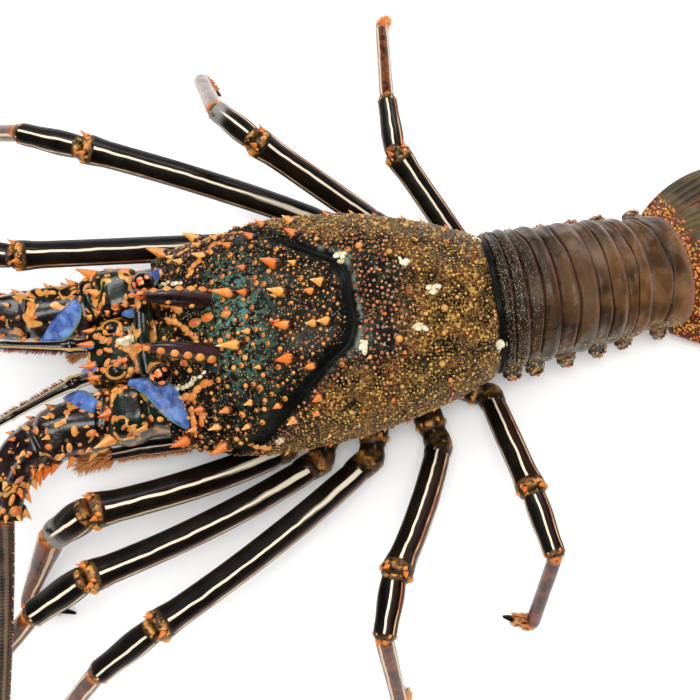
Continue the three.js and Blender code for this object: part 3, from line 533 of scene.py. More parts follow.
class Finish:
    """A material in the making: short calls that add shader nodes and join them."""

    def __init__(self, name, roughness, coat=0.0, gloss=0.5, shade=SHELL_SHADE):
        self.material = bpy.data.materials.new(name)
        self.material.use_nodes = True
        self.nodes = self.material.node_tree.nodes
        self.shader = self.nodes["Principled BSDF"]
        self.spot = self.node("TexCoord", {}, "Object")
        self.shade = shade
        self.normal = None
        self.fill(self.shader, {
            "Roughness": roughness, "Coat Weight": coat, "Coat Roughness": COAT_ROUGHNESS,
            "Specular IOR Level": gloss,
        })

    def fill(self, node, inputs):
        """Sets or links the inputs of a node."""
        for name, value in inputs.items():
            if isinstance(value, Signal):
                self.material.node_tree.links.new(value.socket, node.inputs[name])
            else:
                node.inputs[name].default_value = value

    def node(self, kind, inputs, output, **settings):
        """Adds a node and gives one of its outputs."""
        node = self.nodes.new(f"ShaderNode{kind}")
        for name, value in settings.items():
            setattr(node, name, value)
        self.fill(node, inputs)
        return Signal(self, node.outputs[output])

    def tone(self, value):
        """A #rrggbb colour in linear light, darkened by the finish's shade; a signal stays as it is."""
        return (*[self.shade * light for light in rgb(value)], 1) if isinstance(value, str) else value

    def mark(self, name):
        """A value that the mesh holds at its points."""
        return self.node("Attribute", {}, "Fac", attribute_name=name)

    def math(self, operation, *values):
        return self.node("Math", dict(enumerate(values)), 0, operation=operation)

    def most(self, a, b):
        """The larger of two values."""
        return self.math("MAXIMUM", a, b)

    def either(self, which, a, b):
        """Value a where which is 0, value b where it is 1."""
        return a * (1 - which) + b * which

    def ramp(self, value, low, high):
        """0 at low, 1 at high and smooth between; low may be above high."""
        inputs = {
            "Value": value, "From Min": min(low, high), "From Max": max(low, high),
            "To Min": float(low > high), "To Max": float(low < high),
        }
        return self.node("MapRange", inputs, "Result", interpolation_type="SMOOTHSTEP")

    def mix(self, share, a, b):
        """Colour a where share is 0, colour b where it is 1."""
        return self.node("Mix", {0: share, 6: self.tone(a), 7: self.tone(b)}, 2, data_type="RGBA")

    def noise(self, size, detail=3.0, distortion=0.0):
        """Soft noise whose patches are about size mm across."""
        inputs = {"Vector": self.spot, "Scale": 1 / (size * MM), "Detail": detail, "Distortion": distortion}
        return self.node("TexNoise", inputs, "Fac")

    def cloud(self, size, low, high, *more):
        """Patches of noise: 0 where it is below low, 1 where it is above high."""
        return self.ramp(self.noise(size, *more), low, high)

    def cloudy(self, size, a, b, low=0.4, high=0.6, *more):
        """Colour a with patches of colour b."""
        return self.mix(self.cloud(size, low, high, *more), a, b)

    def cells(self, size, randomness=0.85):
        """Distance from the middle of cells about size mm across, and a random number for each."""
        inputs = {"Vector": self.spot, "Scale": 1 / (size * MM), "Randomness": randomness}
        distance = self.node("TexVoronoi", inputs, "Distance")
        colour = Signal(self, distance.socket.node.outputs["Color"])
        return distance, self.node("SeparateColor", {0: colour}, 0)

    def stripe(self, degrees, width, wobble):
        """A lengthwise stripe at an angle round a limb, width degrees to each side."""
        sine, cosine = float(np.sin(np.radians(degrees))), float(np.cos(np.radians(degrees)))
        top, side = self.mark("top"), self.mark("side")
        aside = side * cosine + top * -sine + (self.noise(9, 2) - 0.5) * wobble
        within = float(np.sin(np.radians(width)))
        band = self.ramp(self.math("ABSOLUTE", aside), 1.25 * within, 0.8 * within)
        return band * self.ramp(top * cosine + side * sine, 0, 0.1)

    def bump(self, height, depth):
        """Raises the surface by depth mm where height is 1."""
        inputs = {"Strength": 1.0, "Distance": depth * MM, "Height": height}
        if self.normal is not None:
            inputs["Normal"] = self.normal
        self.normal = self.node("Bump", inputs, "Normal")

    def done(self, colour, roughness=None):
        """Joins what was made to the shader, and gives the material."""
        ends = {"Base Color": self.tone(colour), "Roughness": roughness, "Normal": self.normal}
        self.fill(self.shader, {name: value for name, value in ends.items() if value is not None})
        return self.material


def carapace_finish():
    """Dark shell with teal and golden parts, strewn with dots, specks and a golden net."""
    f = Finish("carapace_shell", 0.34, 0.06, 0.14)
    gold = f.mark("gold")
    groove = f.ramp(f.mark("groove") + (f.noise(3.5) - 0.5) * 1.3, 0.3, 0.62)
    ground = f.mix(gold, f.cloudy(7, "#070b06", "#170e07", 0.4, 0.62, 4), "#1e1308")
    ground = f.mix(f.cloud(5, 0.5, 0.64, 4, 1) * 0.6, ground, "#3a3a22")
    ground = f.mix(f.mark("teal") * 0.9 * f.cloud(2.2, 0.46, 0.6, 4, 0.8), ground, "#4f8a7c")
    distance, pick = f.cells(1.05)
    dots = f.ramp(distance, 0.42, 0.3) * (f.ramp(pick + gold * 0.35, 0.42, 0.5) * (1 - groove))
    plain = f.mix(f.ramp(pick, 0.5, 0.9), "#38261a", f.cloudy(9, "#968050", "#7c4c34"))
    golden = f.mix(f.ramp(pick, 0.3, 0.9), "#6c4e1c", "#a8862e")
    colour = f.mix(dots, ground, f.mix(gold, plain, golden))
    distance, pick = f.cells(1.15, 0.9)
    net = f.ramp(distance, 0.5, 0.66)
    netted = f.mix(net, f.mix(pick, "#180c07", "#8a4420"), f.cloudy(5, "#8c7a34", "#cfa24a"))
    patches = gold * f.cloud(9, 0.42, 0.56)
    colour = f.mix(patches * 0.85, colour, netted)
    distance, pick = f.cells(0.9)
    specks = f.ramp(distance, 0.3, 0.2) * f.ramp(pick, 0.86, 0.9) * (1 - gold)
    colour = f.mix(specks * 0.8, colour, "#a9c8bb")
    # near black in the groove and on the rear band: the band's own dark colour, and in the groove partly its
    # own dark colour, partly painted shade
    colour = f.mix(groove, colour, f.cloudy(6, "#080b07", "#12160f", 0.4, 0.7))
    # a grey-teal rim along the groove's rear lip: partly its own colour, partly a painted highlight
    colour = f.mix(f.mark("rim") * f.cloud(3, 0.44, 0.6) * 0.75, colour, "#7c8a80")
    f.bump(dots * 0.8 + specks * 0.4, 0.3)
    f.bump(patches * net, 0.25)
    f.bump(f.noise(1.1), 0.3)
    return f.done(colour, groove * 0.1 + 0.32 + f.noise(2.2) * 0.24)


def granule_finish():
    """Granules with a dark foot, a light ring, a warmer heart and sometimes a dark pit."""
    f = Finish("carapace_granules", 0.3, 0.3)
    tip, tint, warm, gold = (f.mark(name) for name in ("tip", "tint", "warm", "gold"))
    ring = f.mix(warm, f.mix(tint, "#5c4426", "#8a6a3a"), f.mix(tint, "#c89a38", "#e08a2c"))
    ring = f.mix(warm * f.ramp(tint, 0.5, 0.8), ring, "#e6a44e")
    ring = f.mix(gold, ring, f.mix(tint, "#5e4a1c", "#b8923a"))
    heart = f.mix(warm, f.mix(tint, "#ac4420", "#cc7a50"), f.mix(tint, "#dc6418", "#f2a440"))
    heart = f.mix(f.cloud(8, 0.52, 0.66, 1) * (1 - warm), heart, "#c88c74")
    golden = f.mix(f.ramp(tint, 0.3, 0.75), f.mix(warm, "#7a3c1c", "#c4602a"), "#d29c4c")
    colour = f.mix(f.ramp(tip, 0.12, 0.3), "#15120a", ring)
    colour = f.mix(f.ramp(tip, 0.45, 0.7), colour, f.mix(gold, heart, golden))
    pit = f.ramp(tip + gold * 0.14, 0.78, 0.92) * f.ramp(tint, 0.66, 0.6) * f.mark("pitted")
    colour = f.mix(pit * 0.9, colour, f.mix(gold, "#6a2410", "#33200c"))
    f.bump(f.noise(0.6, 2), 0.06)
    return f.done(colour)


def spine_finish():
    f = Finish("carapace_spines", 0.3, 0.35)
    tip, tint = f.mark("tip"), f.mark("tint")
    root = f.cloudy(2.2, "#1a130d", "#4a2416", 0.42, 0.6)
    shaft = f.mix(f.ramp(tint + f.noise(1.5), 0.6, 1.4), "#e4701a", "#f2a94c")
    end = f.mix(f.ramp(tint, 0.5, 0.6), "#d8401c", "#f2d6a2")
    colour = f.mix(f.ramp(tip + (f.noise(2, 2) - 0.5) * 0.5, 0.06, 0.24), root, shaft)
    colour = f.mix(f.ramp(tip, 0.72, 0.95), colour, end)
    f.bump(f.noise(0.8), 0.1)
    return f.done(colour)


def cream_finish():
    f = Finish("cream_marks", 0.4)
    return f.done(f.cloudy(2, "#c9b88c", "#f3ead0"))


def horn_finish():
    f = Finish("horn_shell", 0.28, 0.4)
    grain = f.noise(2.5, 4, 1.5)
    colour = f.mix(f.ramp(grain, 0.4, 0.65), "#0f0a0a", "#2e1a1c")
    colour = f.mix(f.stripe(20, 30, 0.4) * 0.45, colour, "#54343a")
    colour = f.mix(f.ramp(f.mark("share"), 0.84, 0.93), colour, "#d8501c")
    f.bump(grain, 0.15)
    return f.done(colour)


def eye_finish():
    """Wet black with fine facets, and orange spots and blotches towards the stalk."""
    f = Finish("eye_surface", 0.08, 0.9)
    dark = f.cloudy(1.2, "#060404", "#1c100e", 0.35, 0.7, 2)
    spot = f.ramp(f.mark("spot") + (f.noise(1.5) - 0.5) * 0.8, 0.42, 0.55)
    orange = f.most(spot, f.mark("stalk") * f.cloud(3.2, 0.48, 0.54, 1))
    facets, _ = f.cells(0.25, 0.2)
    f.bump(f.ramp(facets, 0.6, 0.2), 0.015)
    return f.done(f.mix(orange, dark, f.cloudy(1.6, "#cf4c1c", "#f09048")))


def blotched_finish(name, ground_a, ground_b, least):
    """Dark glossy shell with irregular orange blotches, rimmed in yellow, where noise passes least."""
    f = Finish(name, 0.26, 0.4)
    ground = f.cloudy(6, ground_a, ground_b, 0.4, 0.62, 4)
    ground = f.mix(f.cloud(2.5, 0.6, 0.72, 4) * 0.6, ground, "#5a3a3c")
    field = f.noise(7, 1.6, 0.7)
    blotch = f.ramp(field, least, least + 0.02)
    core = f.ramp(field, least + 0.025, least + 0.05)
    colour = f.mix(blotch, ground, f.cloudy(8, "#9a8a34", "#c08a34", 0.42, 0.58))
    colour = f.mix(core, colour, f.cloudy(4, "#cf7425", "#e3a04c"))
    distance, pick = f.cells(3.2)
    spots = f.ramp(distance, 0.3, 0.22) * f.ramp(pick, 0.62, 0.68)
    colour = f.mix(spots, colour, f.mix(pick, "#b8862c", "#e08a30"))
    f.bump(blotch + spots, 0.25)
    f.bump(f.noise(1.2), 0.14)
    return f.done(colour, f.noise(3) * 0.2 + 0.2)


def membrane_finish():
    f = Finish("joint_membrane", 0.42, 0.15)
    colour = f.cloudy(4, "#1e3c8c", "#4f7cc4", 0.35, 0.65, 4, 0.6)
    colour = f.mix(f.cloud(6, 0.52, 0.7, 2) * 0.5, colour, "#86a6d8")
    rim = f.cloudy(5, "#5fa0a0", "#7a7c3c", 0.42, 0.58)
    colour = f.mix(f.ramp(f.mark("edge"), 0.72, 1), colour, rim)
    f.bump(f.noise(3, 4, 1.4), 0.5)
    f.bump(f.noise(1.2, 4, 1.0), 0.2)
    return f.done(colour)


def leg_finish():
    """Glossy near-black shell with a bright lengthwise line, thin edge lines and rimmed ends."""
    f = Finish("leg_shell", 0.3, 0.12, 0.3)
    right, knob, rear = f.mark("right"), f.mark("knob"), f.mark("rear")
    middle, broad = (
        f.either(right, f.stripe(13, width, 0.22), f.stripe(-8, width, 0.22)) for width in (5, 11)
    )
    middle = f.either(rear, f.most(middle, broad * f.mark("base")), f.stripe(-5, 5, 0.22))
    thin = f.most(f.stripe(72, 5, 0.2), f.stripe(-75, 5, 0.2))
    second = f.stripe(43, 3.8, 0.16) * rear
    glow = f.most(f.stripe(66, 13, 0.1), broad * 0.6)
    away = f.ramp(knob, 0.4, 0.15)
    colour = f.mix(glow * 0.5, f.cloudy(7, "#060403", "#1a0f08", 0.35, 0.7), "#4a2010")
    colour = f.mix(thin * away * 0.9, colour, f.cloudy(14, "#c07a4c", "#e6cfa0"))
    colour = f.mix(second * away, colour, f.cloudy(12, "#b8602c", "#e8b07c"))
    colour = f.mix(middle * away, colour, "#f4e7cc")
    colour = f.mix(f.mark("grey") * f.cloud(6, 0.3, 0.5), colour, "#8b8784")
    colour = f.mix(f.ramp(knob, 0.3, 0.5), colour, f.cloudy(3, "#1c160a", "#5c4018"))
    rim = f.ramp(knob, 0.55, 0.8) * f.cloud(2.4, 0.46, 0.54, 2)
    colour = f.mix(rim, colour, f.cloudy(4, "#8c4e20", "#d2923e"))
    f.bump(f.noise(1.6, 4), 0.12)
    f.bump(middle * away, 0.15)
    return f.done(colour, f.noise(4) * 0.22 + 0.3)


def lower_leg_finish():
    f = Finish("lower_leg_shell", 0.3, 0.1, 0.25)
    colour = f.cloudy(6, "#351206", "#743a1a", 0.35, 0.65, 4, 0.5)
    stripes = f.most(f.stripe(48, 8, 0.4), f.stripe(-46, 8, 0.4))
    colour = f.mix(stripes * 0.85, colour, "#e3c49a")
    grey = f.mark("grey") * f.cloud(12, 0.28, 0.45)
    colour = f.mix(grey * 0.8, colour, f.cloudy(4, "#6e5c58", "#94837e"))
    colour = f.mix(f.mark("claw"), colour, "#0a0706")
    colour = f.mix(f.mark("knob") * f.cloud(3, 0.36, 0.5), colour, "#cf742c")
    f.bump(f.noise(1.4, 4), 0.12)
    return f.done(colour, f.noise(3) * 0.16 + 0.18)


def abdomen_finish():
    """Brown rings, paler to the rear, with rosy rims, fine specks in front, golden flanks and patches of
    painted sheen.
    """
    f = Finish("abdomen_shell", 0.4, 0.06, 0.26)
    aft = f.mark("aft")
    cloud = f.cloud(14, 0.36, 0.66, 4, 0.4)
    colour = f.mix(aft, f.mix(cloud, "#0e0b06", "#281d10"), f.mix(cloud, "#402812", "#704a24"))
    # painted sheen: pale patches, paler to the rear, that stand for glossy highlights on the rings
    colour = f.mix(f.cloud(22, 0.5, 0.72, 2) * 0.35, colour, f.mix(aft, "#4c4436", "#94745a"))
    rosy = f.mark("rim") * f.cloud(18, 0.36, 0.62, 2)
    colour = f.mix(rosy * 0.7, colour, f.mix(aft, "#583838", "#8e5648"))
    distance, pick = f.cells(0.8)
    specks = f.ramp(distance, 0.4, 0.24) * f.ramp(pick + f.noise(12, 2), 0.72, 0.8)
    specks = specks * f.ramp(aft, 0.45, 0.1)
    colour = f.mix(specks * 0.8, colour, f.mix(pick, "#7c5038", "#b0a284"))
    # painted shade: near black in the fold across a ring's back and at both of its ends, where the rings
    # overlap
    colour = f.mix(f.mark("dip") * 0.8, colour, "#0d0a0a")
    distance, pick = f.cells(1.7)
    gold = f.ramp(distance, 0.42, 0.3) * f.ramp(pick, 0.25, 0.35) * f.mark("flank")
    colour = f.mix(gold * 0.95, colour, f.mix(pick, "#cf9438", "#a8962f"))
    f.bump(gold, 0.25)
    f.bump(specks, 0.14)
    f.bump(f.noise(8, 5, 0.6), 1.3)
    return f.done(colour, f.noise(6, 4) * 0.36 + 0.2)


def fan_finish():
    """Olive blades with brown ribs and edges, and orange dots near their roots."""
    f = Finish("fan_blades", 0.42, 0.06, 0.25)
    share = f.mark("share")
    colour = f.mix(f.mark("rib") * 0.6, f.cloudy(9, "#2b2914", "#5a5030", 0.38, 0.64, 4), "#7c4a24")
    colour = f.mix(f.ramp(f.mark("edge"), 0.84, 0.97) * f.cloud(5, 0.35, 0.55), colour, "#a8502a")
    colour = f.mix(f.ramp(share, 0.46, 0.26), colour, "#5c2c16")
    distance, pick = f.cells(1.7)
    dots = f.ramp(share, 0.42, 0.26) * f.ramp(distance, 0.44, 0.3)
    colour = f.mix(dots, colour, f.mix(f.ramp(pick, 0.4, 0.6), "#d2641f", "#d9a23a"))
    f.bump(dots, 0.3)
    f.bump(f.noise(1.3, 4), 0.15)
    return f.done(colour)


def lash_finish():
    f = Finish("lash_shell", 0.36, 0.2)
    rings = f.math("SINE", f.mark("length") * LASH_RINGS)
    colour = f.cloudy(9, "#2e2018", "#54402e", 0.35, 0.7)
    colour = f.mix(f.ramp(rings, 0.3, 0.9) * 0.4, colour, "#150d0b")
    colour = f.mix(f.stripe(20, 12, 0.2) * 0.4, colour, "#8a7450")
    colour = f.mix(f.stripe(100, 34, 0.1) * 0.7, colour, "#24142c")
    colour = f.mix(f.ramp(f.mark("share"), 0.02, 0.0), colour, "#e07a24")
    f.bump(rings, 0.12)
    return f.done(colour)


def antennule_finish():
    f = Finish("antennule_shell", 0.22, 0.4)
    colour = f.mix(f.stripe(75, 20, 0.06), f.cloudy(5, "#0a0706", "#1e1310"), "#f0e4c8")
    colour = f.mix(f.stripe(-40, 12, 0.06), colour, "#c9a56a")
    f.bump(f.noise(1), 0.08)
    return f.done(colour)


def underside_finish():
    f = Finish("underside_shell", 0.4, 0.1)
    line = f.math("ABSOLUTE", f.noise(8, 2, 1.0) - 0.5)
    colour = f.cloudy(9, "#5a3f26", "#b09060", 0.38, 0.62, 4)
    f.bump(f.noise(2.5, 4), 0.3)
    return f.done(f.mix(f.ramp(line, 0.05, 0.02) * 0.7, colour, "#2a1d12"))


def bristle_finish(name, low, high):
    f = Finish(name, 0.55)
    f.bump(f.noise(0.5, 2), 0.05)
    return f.done(f.mix(f.ramp(f.mark("tip") + f.mark("tint") * 0.4, 0.2, 1.1), low, high))


def floor_finish():
    f = Finish("pale_floor", 0.55, shade=1.0)
    return f.done(f.cloudy(90, "#eceef0", "#f4f5f6", 0.35, 0.65, 4))


# Carapace

def behind_groove(x, degrees):
    """How far in mm a place lies behind the cervical groove's deepest line; in front it is negative."""
    level = np.abs(degrees)
    line = along(GROOVE_LINE, level)
    slant = (along(GROOVE_LINE, level + 1) - line) / (np.radians(1) * CARAPACE_GIRTH)
    return (x - line) / np.sqrt(1 + slant**2)


def groove_closeness(x, degrees):
    """1 in the middle of the cervical groove, falling to 0 at its sides."""
    distance = behind_groove(x, degrees)
    broader = 1 + 0.6 * step(np.abs(degrees), 34, 60)
    return bell(distance, np.where(distance < 0, GROOVE_FRONT * broader, GROOVE_BACK))


def lower_edge(x):
    """The angle in degrees from the top at which the carapace ends below."""
    bulge = along(CARAPACE_BULGE, x)
    return np.degrees(np.arccos((CARAPACE_EDGE - bulge) / (bulge + 3)))


def smooth_carapace(x, degrees):
    """Points of the carapace's plain form at angles in degrees from the top; the right is positive."""
    x, degrees = np.broadcast_arrays(np.asarray(x, float), np.asarray(degrees, float))
    sine, cosine = np.sin(np.radians(degrees)), np.cos(np.radians(degrees))
    bulge = along(CARAPACE_BULGE, x)
    above = along(CARAPACE_TOP, x) - bulge
    y = along(CARAPACE_HALF_WIDTH, x) * signed_power(sine, np.where(cosine > 0, 0.97, 1.3))
    z = bulge + np.where(cosine > 0, above * signed_power(cosine, 0.97), (bulge + 3) * cosine)
    return np.stack([x, y, z], -1)


def carapace_relief(x, degrees):
    """How far grooves, swellings and orbits lift the carapace over its plain form."""
    level = np.abs(degrees)
    relief = -GROOVE_DEPTH * groove_closeness(x, degrees) * step(level, 112, 96)
    relief += 0.8 * bell(x + 22, 20) * bell(level - 14, 14)
    relief += 0.7 * bell(x - 26, 16) * bell(level - 30, 18)
    relief -= 0.7 * bell(x - 30, 22) * bell(level, 4)
    relief -= 4.0 * bell(x + 68, 7) * bell(level - 42, 20)
    relief -= 0.9 * bell(x - REAR_BAND, 1.0)
    relief += 0.5 * bell(x - REAR_BAND - 2.4, 1.4)
    return relief


def carapace_surface(x, degrees, inset=0.0):
    """Points of the finished carapace, and the directions straight out of it."""
    ahead = smooth_carapace(np.asarray(x) + 0.5, degrees) - smooth_carapace(np.asarray(x) - 0.5, degrees)
    round_it = smooth_carapace(x, np.asarray(degrees) + 1) - smooth_carapace(x, np.asarray(degrees) - 1)
    out = unit(np.cross(ahead, round_it))
    lift = carapace_relief(x, degrees) - inset
    return smooth_carapace(x, degrees) + out * np.asarray(lift)[..., None], out


def gold_share(x, degrees):
    """1 where the carapace is thick with golden granules, at its rear and on its sides."""
    level = np.abs(degrees)
    rear = step(x, 20 - 0.1 * level, 40 - 0.2 * level)
    flank = step(level, 26, 48) * step(behind_groove(x, degrees), 2, 10)
    return np.maximum(rear, flank)


def carapace_marks(x, degrees):
    level = np.abs(degrees)
    band = 0.9 * step(x, REAR_BAND - 0.6, REAR_BAND + 0.6)
    near = groove_closeness(x, degrees) * (1 - 0.75 * step(degrees, 30, 52))
    behind = behind_groove(x, degrees)
    return {
        "teal": bell(x + 35, 11) * bell(level, 30) + 0.7 * bell(behind - 3, 2.5) * bell(level - 23, 5),
        # the grey-teal lip behind the groove, partly a painted highlight
        "rim": bell(behind - 2.3, 0.8) * step(level, 36, 26),
        "gold": gold_share(x, degrees),
        # where the near-black colour goes, which in the groove is partly painted shade
        "groove": np.maximum(near, band),
    }


def carapace(finish):
    """One closed shell, whose rims turn in at both ends."""
    rows = np.r_[
        CARAPACE_FRONT + 2.5, CARAPACE_FRONT + 0.4,
        np.linspace(CARAPACE_FRONT, CARAPACE_REAR, CARAPACE_ROWS), CARAPACE_REAR - 0.2, CARAPACE_REAR - 2,
    ]
    insets = np.r_[3, 1, np.zeros(CARAPACE_ROWS), 1, 3]
    x, share = np.meshgrid(rows, np.linspace(-1, 1, CARAPACE_COLUMNS), indexing="ij")
    degrees = share * lower_edge(x)
    points, _ = carapace_surface(x, degrees, insets[:, None])
    place("carapace_shell", grid_part(points, carapace_marks(x, degrees)), finish, "carapace", ["carapace"])


def scatter(spacing, keep, draw):
    """Places about evenly over the carapace, kept with the chance that keep(x, degrees) gives."""
    found = []
    for number, x in enumerate(np.arange(CARAPACE_FRONT + 2.5, REAR_BAND - 0.5, spacing * 0.87)):
        reach = (along(CARAPACE_HALF_WIDTH, x) + along(CARAPACE_TOP, x) - along(CARAPACE_BULGE, x)) / 2
        turn = np.degrees(spacing / reach)
        degrees = np.arange(-114 + (number % 2) * turn / 2, 114, turn)
        found.append(np.stack([np.full(len(degrees), x), degrees], 1))
    found = np.vstack(found)
    found[:, 0] += draw.uniform(-0.28, 0.28, len(found)) * spacing
    found[:, 1] += draw.uniform(-0.28, 0.28, len(found)) * np.degrees(spacing / 38)
    return found[draw.random(len(found)) < keep(found[:, 0], found[:, 1])]


def clear_of(places, others, distance):
    """The places that keep a distance from the others on the carapace."""
    here, _ = carapace_surface(places[:, 0], places[:, 1])
    there, _ = carapace_surface(others[:, 0], others[:, 1])
    nearest = np.array([np.min(np.linalg.norm(there - point, axis=1) - distance) for point in here])
    return places[nearest > 0]


def spine_places(draw):
    """All the carapace's spines as x, degrees, length and root radius."""
    rows = [(x, side * degrees, *size) for x, degrees, *size in LARGE_SPINES for side in (-1, 1)]
    for degrees, first, last, spacing, longest in SPINE_ROWS:
        for x in np.arange(first, last + 0.1, spacing * 0.8):
            for side in (-1, 1):
                length = longest * draw.uniform(0.65, 1.15)
                place_x, place_degrees = x + draw.uniform(-1.6, 1.6), side * (degrees + draw.uniform(-4, 4))
                rows.append((place_x, place_degrees, length, 0.4 * length))
    rows = np.array(rows)
    return rows[groove_closeness(rows[:, 0], rows[:, 1]) < 0.35]


def carapace_spines(finish, rows, draw):
    feet, out = carapace_surface(rows[:, 0], rows[:, 1])
    ahead, _ = carapace_surface(rows[:, 0] - 1, rows[:, 1])
    aims = out + SPINE_LEAN * unit(ahead - feet)
    tint = draw.random(len(rows))
    part = spikes(feet, aims, rows[:, 3], rows[:, 2], SPINE_PROFILE, 12, bend=0.12, tint=tint)
    place("carapace_spines", part, finish, "carapace")


def carapace_granules(finish, spines, draw):
    """Granules in six pieces, from large to fine, each clear of the spines and of the coarse ones before."""
    def away(x, degrees):
        return groove_closeness(x, degrees) < 0.35

    def front(x, degrees):
        return away(x, degrees) * (behind_groove(x, degrees) < 0)

    def middle(x, degrees):
        return away(x, degrees) * (behind_groove(x, degrees) > 0) * (gold_share(x, degrees) < 0.45)

    def golden(x, degrees):
        return away(x, degrees) * (gold_share(x, degrees) >= 0.45)

    groups = [
        ("large", 9.0, lambda x, d: 0.7 * away(x, d) * (x > -44), 1.2, 1.0, GRANULE_PROFILE, 9),
        ("front", 3.6, lambda x, d: 0.66 * front(x, d) * (x < -18), 0.95, 1.0, GRANULE_PROFILE, 8),
        ("central", 2.5, lambda x, d: 0.8 * front(x, d) * (x >= -22), 0.62, 0.8, GRANULE_PROFILE, 7),
        ("middle", 2.15, lambda x, d: 0.95 * middle(x, d), 0.7, 0.8, GRANULE_PROFILE, 7),
        ("golden", 1.4, lambda x, d: 0.8 * golden(x, d), 0.56, 0.8, GRANULE_PROFILE, 6),
        ("fine", 1.7, lambda x, d: 0.36 * front(x, d), 0.36, 0.7, GRAIN_PROFILE, 6),
    ]
    taken = spines[:, :2]
    for name, spacing, keep, radius, height, profile, sides in groups:
        places = clear_of(scatter(spacing, keep, draw), taken, 0.5 * spacing + 0.4)
        feet, out = carapace_surface(places[:, 0], places[:, 1])
        radii = radius * draw.uniform(0.55, 1.3, len(places))
        gold = gold_share(places[:, 0], places[:, 1])
        ahead = step(behind_groove(places[:, 0], places[:, 1]), 0, -4)
        warm = np.clip(0.75 * ahead + 0.9 * (spacing > 8) + draw.uniform(-0.4, 0.25, len(places)), 0, 1)
        aims = out + np.array([-0.25, 0, 0])
        part = spikes(
            feet, aims, radii, radii * height, profile, sides, 0.1,
            tint=draw.random(len(places)), warm=warm, gold=gold, pitted=1.0,
        )
        place(f"carapace_granules_{name}", part, finish, "carapace")
        taken = np.vstack([taken, places]) if spacing > 2 else taken


def cream_marks(finish, draw):
    """The carapace's few large pale marks, each of four lumps that overlap."""
    rows = np.repeat(PALE_MARKS, 4, axis=0)
    rows[:, 0] += draw.uniform(-1.5, 1.5, len(rows))
    rows[:, 1] += draw.uniform(-2.2, 2.2, len(rows))
    feet, out = carapace_surface(rows[:, 0], rows[:, 1])
    radii = rows[:, 2] * draw.uniform(0.4, 0.75, len(rows))
    ahead = draw.normal(size=(len(rows), 3))
    heights = np.full(len(rows), 0.8)
    part = spikes(feet - 0.15 * out, out, radii, heights, GRANULE_PROFILE, 12, 0, 1.8, ahead)
    place("carapace_marks", part, finish, "carapace")


def front_ridges(granules, cream, draw):
    """Rows of lumps that run together to short ridges on the carapace's front."""
    for name, finish, ridges in (("orange", granules, ORANGE_RIDGES), ("cream", cream, CREAM_RIDGES)):
        parts = []
        for first_x, first_degrees, last_x, last_degrees, count, size in ridges:
            shares = (np.arange(count) + draw.uniform(-0.25, 0.25, count)) / max(count - 1, 1)
            x = first_x + shares * (last_x - first_x)
            stray = draw.uniform(-1.5, 1.5, count)
            degrees = first_degrees + shares * (last_degrees - first_degrees) + stray
            feet, out = carapace_surface(x, degrees)
            ahead = feet[-1] - feet[0] + draw.normal(size=(count, 3))
            radii = size * draw.uniform(0.7, 1.15, count)
            parts.append(spikes(
                feet - 0.3 * radii[:, None] * out, out, radii, 0.8 * radii, GRANULE_PROFILE, 11, 0, 1.5,
                ahead=ahead, tint=draw.random(count), warm=draw.uniform(0.7, 1, count),
            ))
        place(f"carapace_ridges_{name}", joined(parts), finish, "carapace")


# Head

def on_tube(limb, shares, degrees):
    """Points on a round limb, with the directions straight out of it and along it."""
    forward, ups, sideways = carried_frames(limb.path)
    places = share_of(limb.path)
    shares, angle = np.asarray(shares, float), np.radians(np.asarray(degrees, float))[:, None]

    def at(values):
        return np.stack([np.interp(shares, places, values[:, k]) for k in range(3)], 1)

    out = unit(at(ups) * np.cos(angle) + limb.side * at(sideways) * np.sin(angle))
    return at(limb.path) + out * along(limb.table, shares)[:, None], out, unit(at(forward))


def horn(name, side, finish, granules):
    limb = Limb(smooth([(x, side * y, z) for x, y, z in HORN_PATH], 44), even_table(HORN_RADII), side)
    part = round_tube(limb.path, limb.table, 28, mirror=side)
    place(f"horn_{name}", part, finish, "horn", [f"horn_{name}"])
    shares, degrees, radii, tint = np.array(HORN_KNOBS).T
    feet, out, forward = on_tube(limb, shares, degrees)
    part = spikes(
        feet - 0.3 * out, out + 0.3 * forward, radii, radii * 0.9, GRANULE_PROFILE, 12, stretch=1.2,
        ahead=forward, tint=tint, warm=1.0,
    )
    place(f"horn_granules_{name}", part, granules, "horn")


def ball(centre, radius):
    """The grid of a sphere, and the directions out of it."""
    latitude, angle = round_grid(np.linspace(0.02, np.pi - 0.02, 40), 56)
    flat = np.sin(latitude)
    direction = np.stack([flat * np.cos(angle), flat * np.sin(angle), np.cos(latitude)], -1)
    return np.array(centre) + radius * direction, direction


def eye(name, finish, stalk_finish):
    root, centre = (np.array(spot) for spot in EYE_PLACES[name])
    toward_root = unit(root - centre)
    points, direction = ball(centre, EYE_RADIUS)
    stalk = step(direction @ toward_root, 0.05, 0.55)
    spots = [bell(np.arccos(np.clip(direction @ unit(aim), -1, 1)), size) for *aim, size in EYE_SPOTS]
    globe = grid_part(points, {"stalk": stalk, "spot": np.max(spots, axis=0)})
    place(f"eye_{name}", globe, finish, "eye", [f"eye_{name}"])
    path = straight([root, centre + 1.5 * toward_root], 16)
    place(f"eye_stalk_{name}", round_tube(path, EYE_STALK_RADII, 24, stalk=1.0), stalk_finish, "eye")


def ocular_bar(finish):
    bar = round_tube(smooth(OCULAR_BAR, 30), [(0, 2.6), (0.5, 3), (1, 2.6)], 24)
    place("ocular_bar", bar, finish, "eye")


def skin_normals(part):
    """The direction straight out of a part at each of its points."""
    tris, (a, b, c) = triangles(part)
    faces = np.cross(b - a, c - a)
    normals = np.zeros_like(part.points)
    for k in range(3):
        np.add.at(normals, tris[:, k], faces)
    return unit(normals)


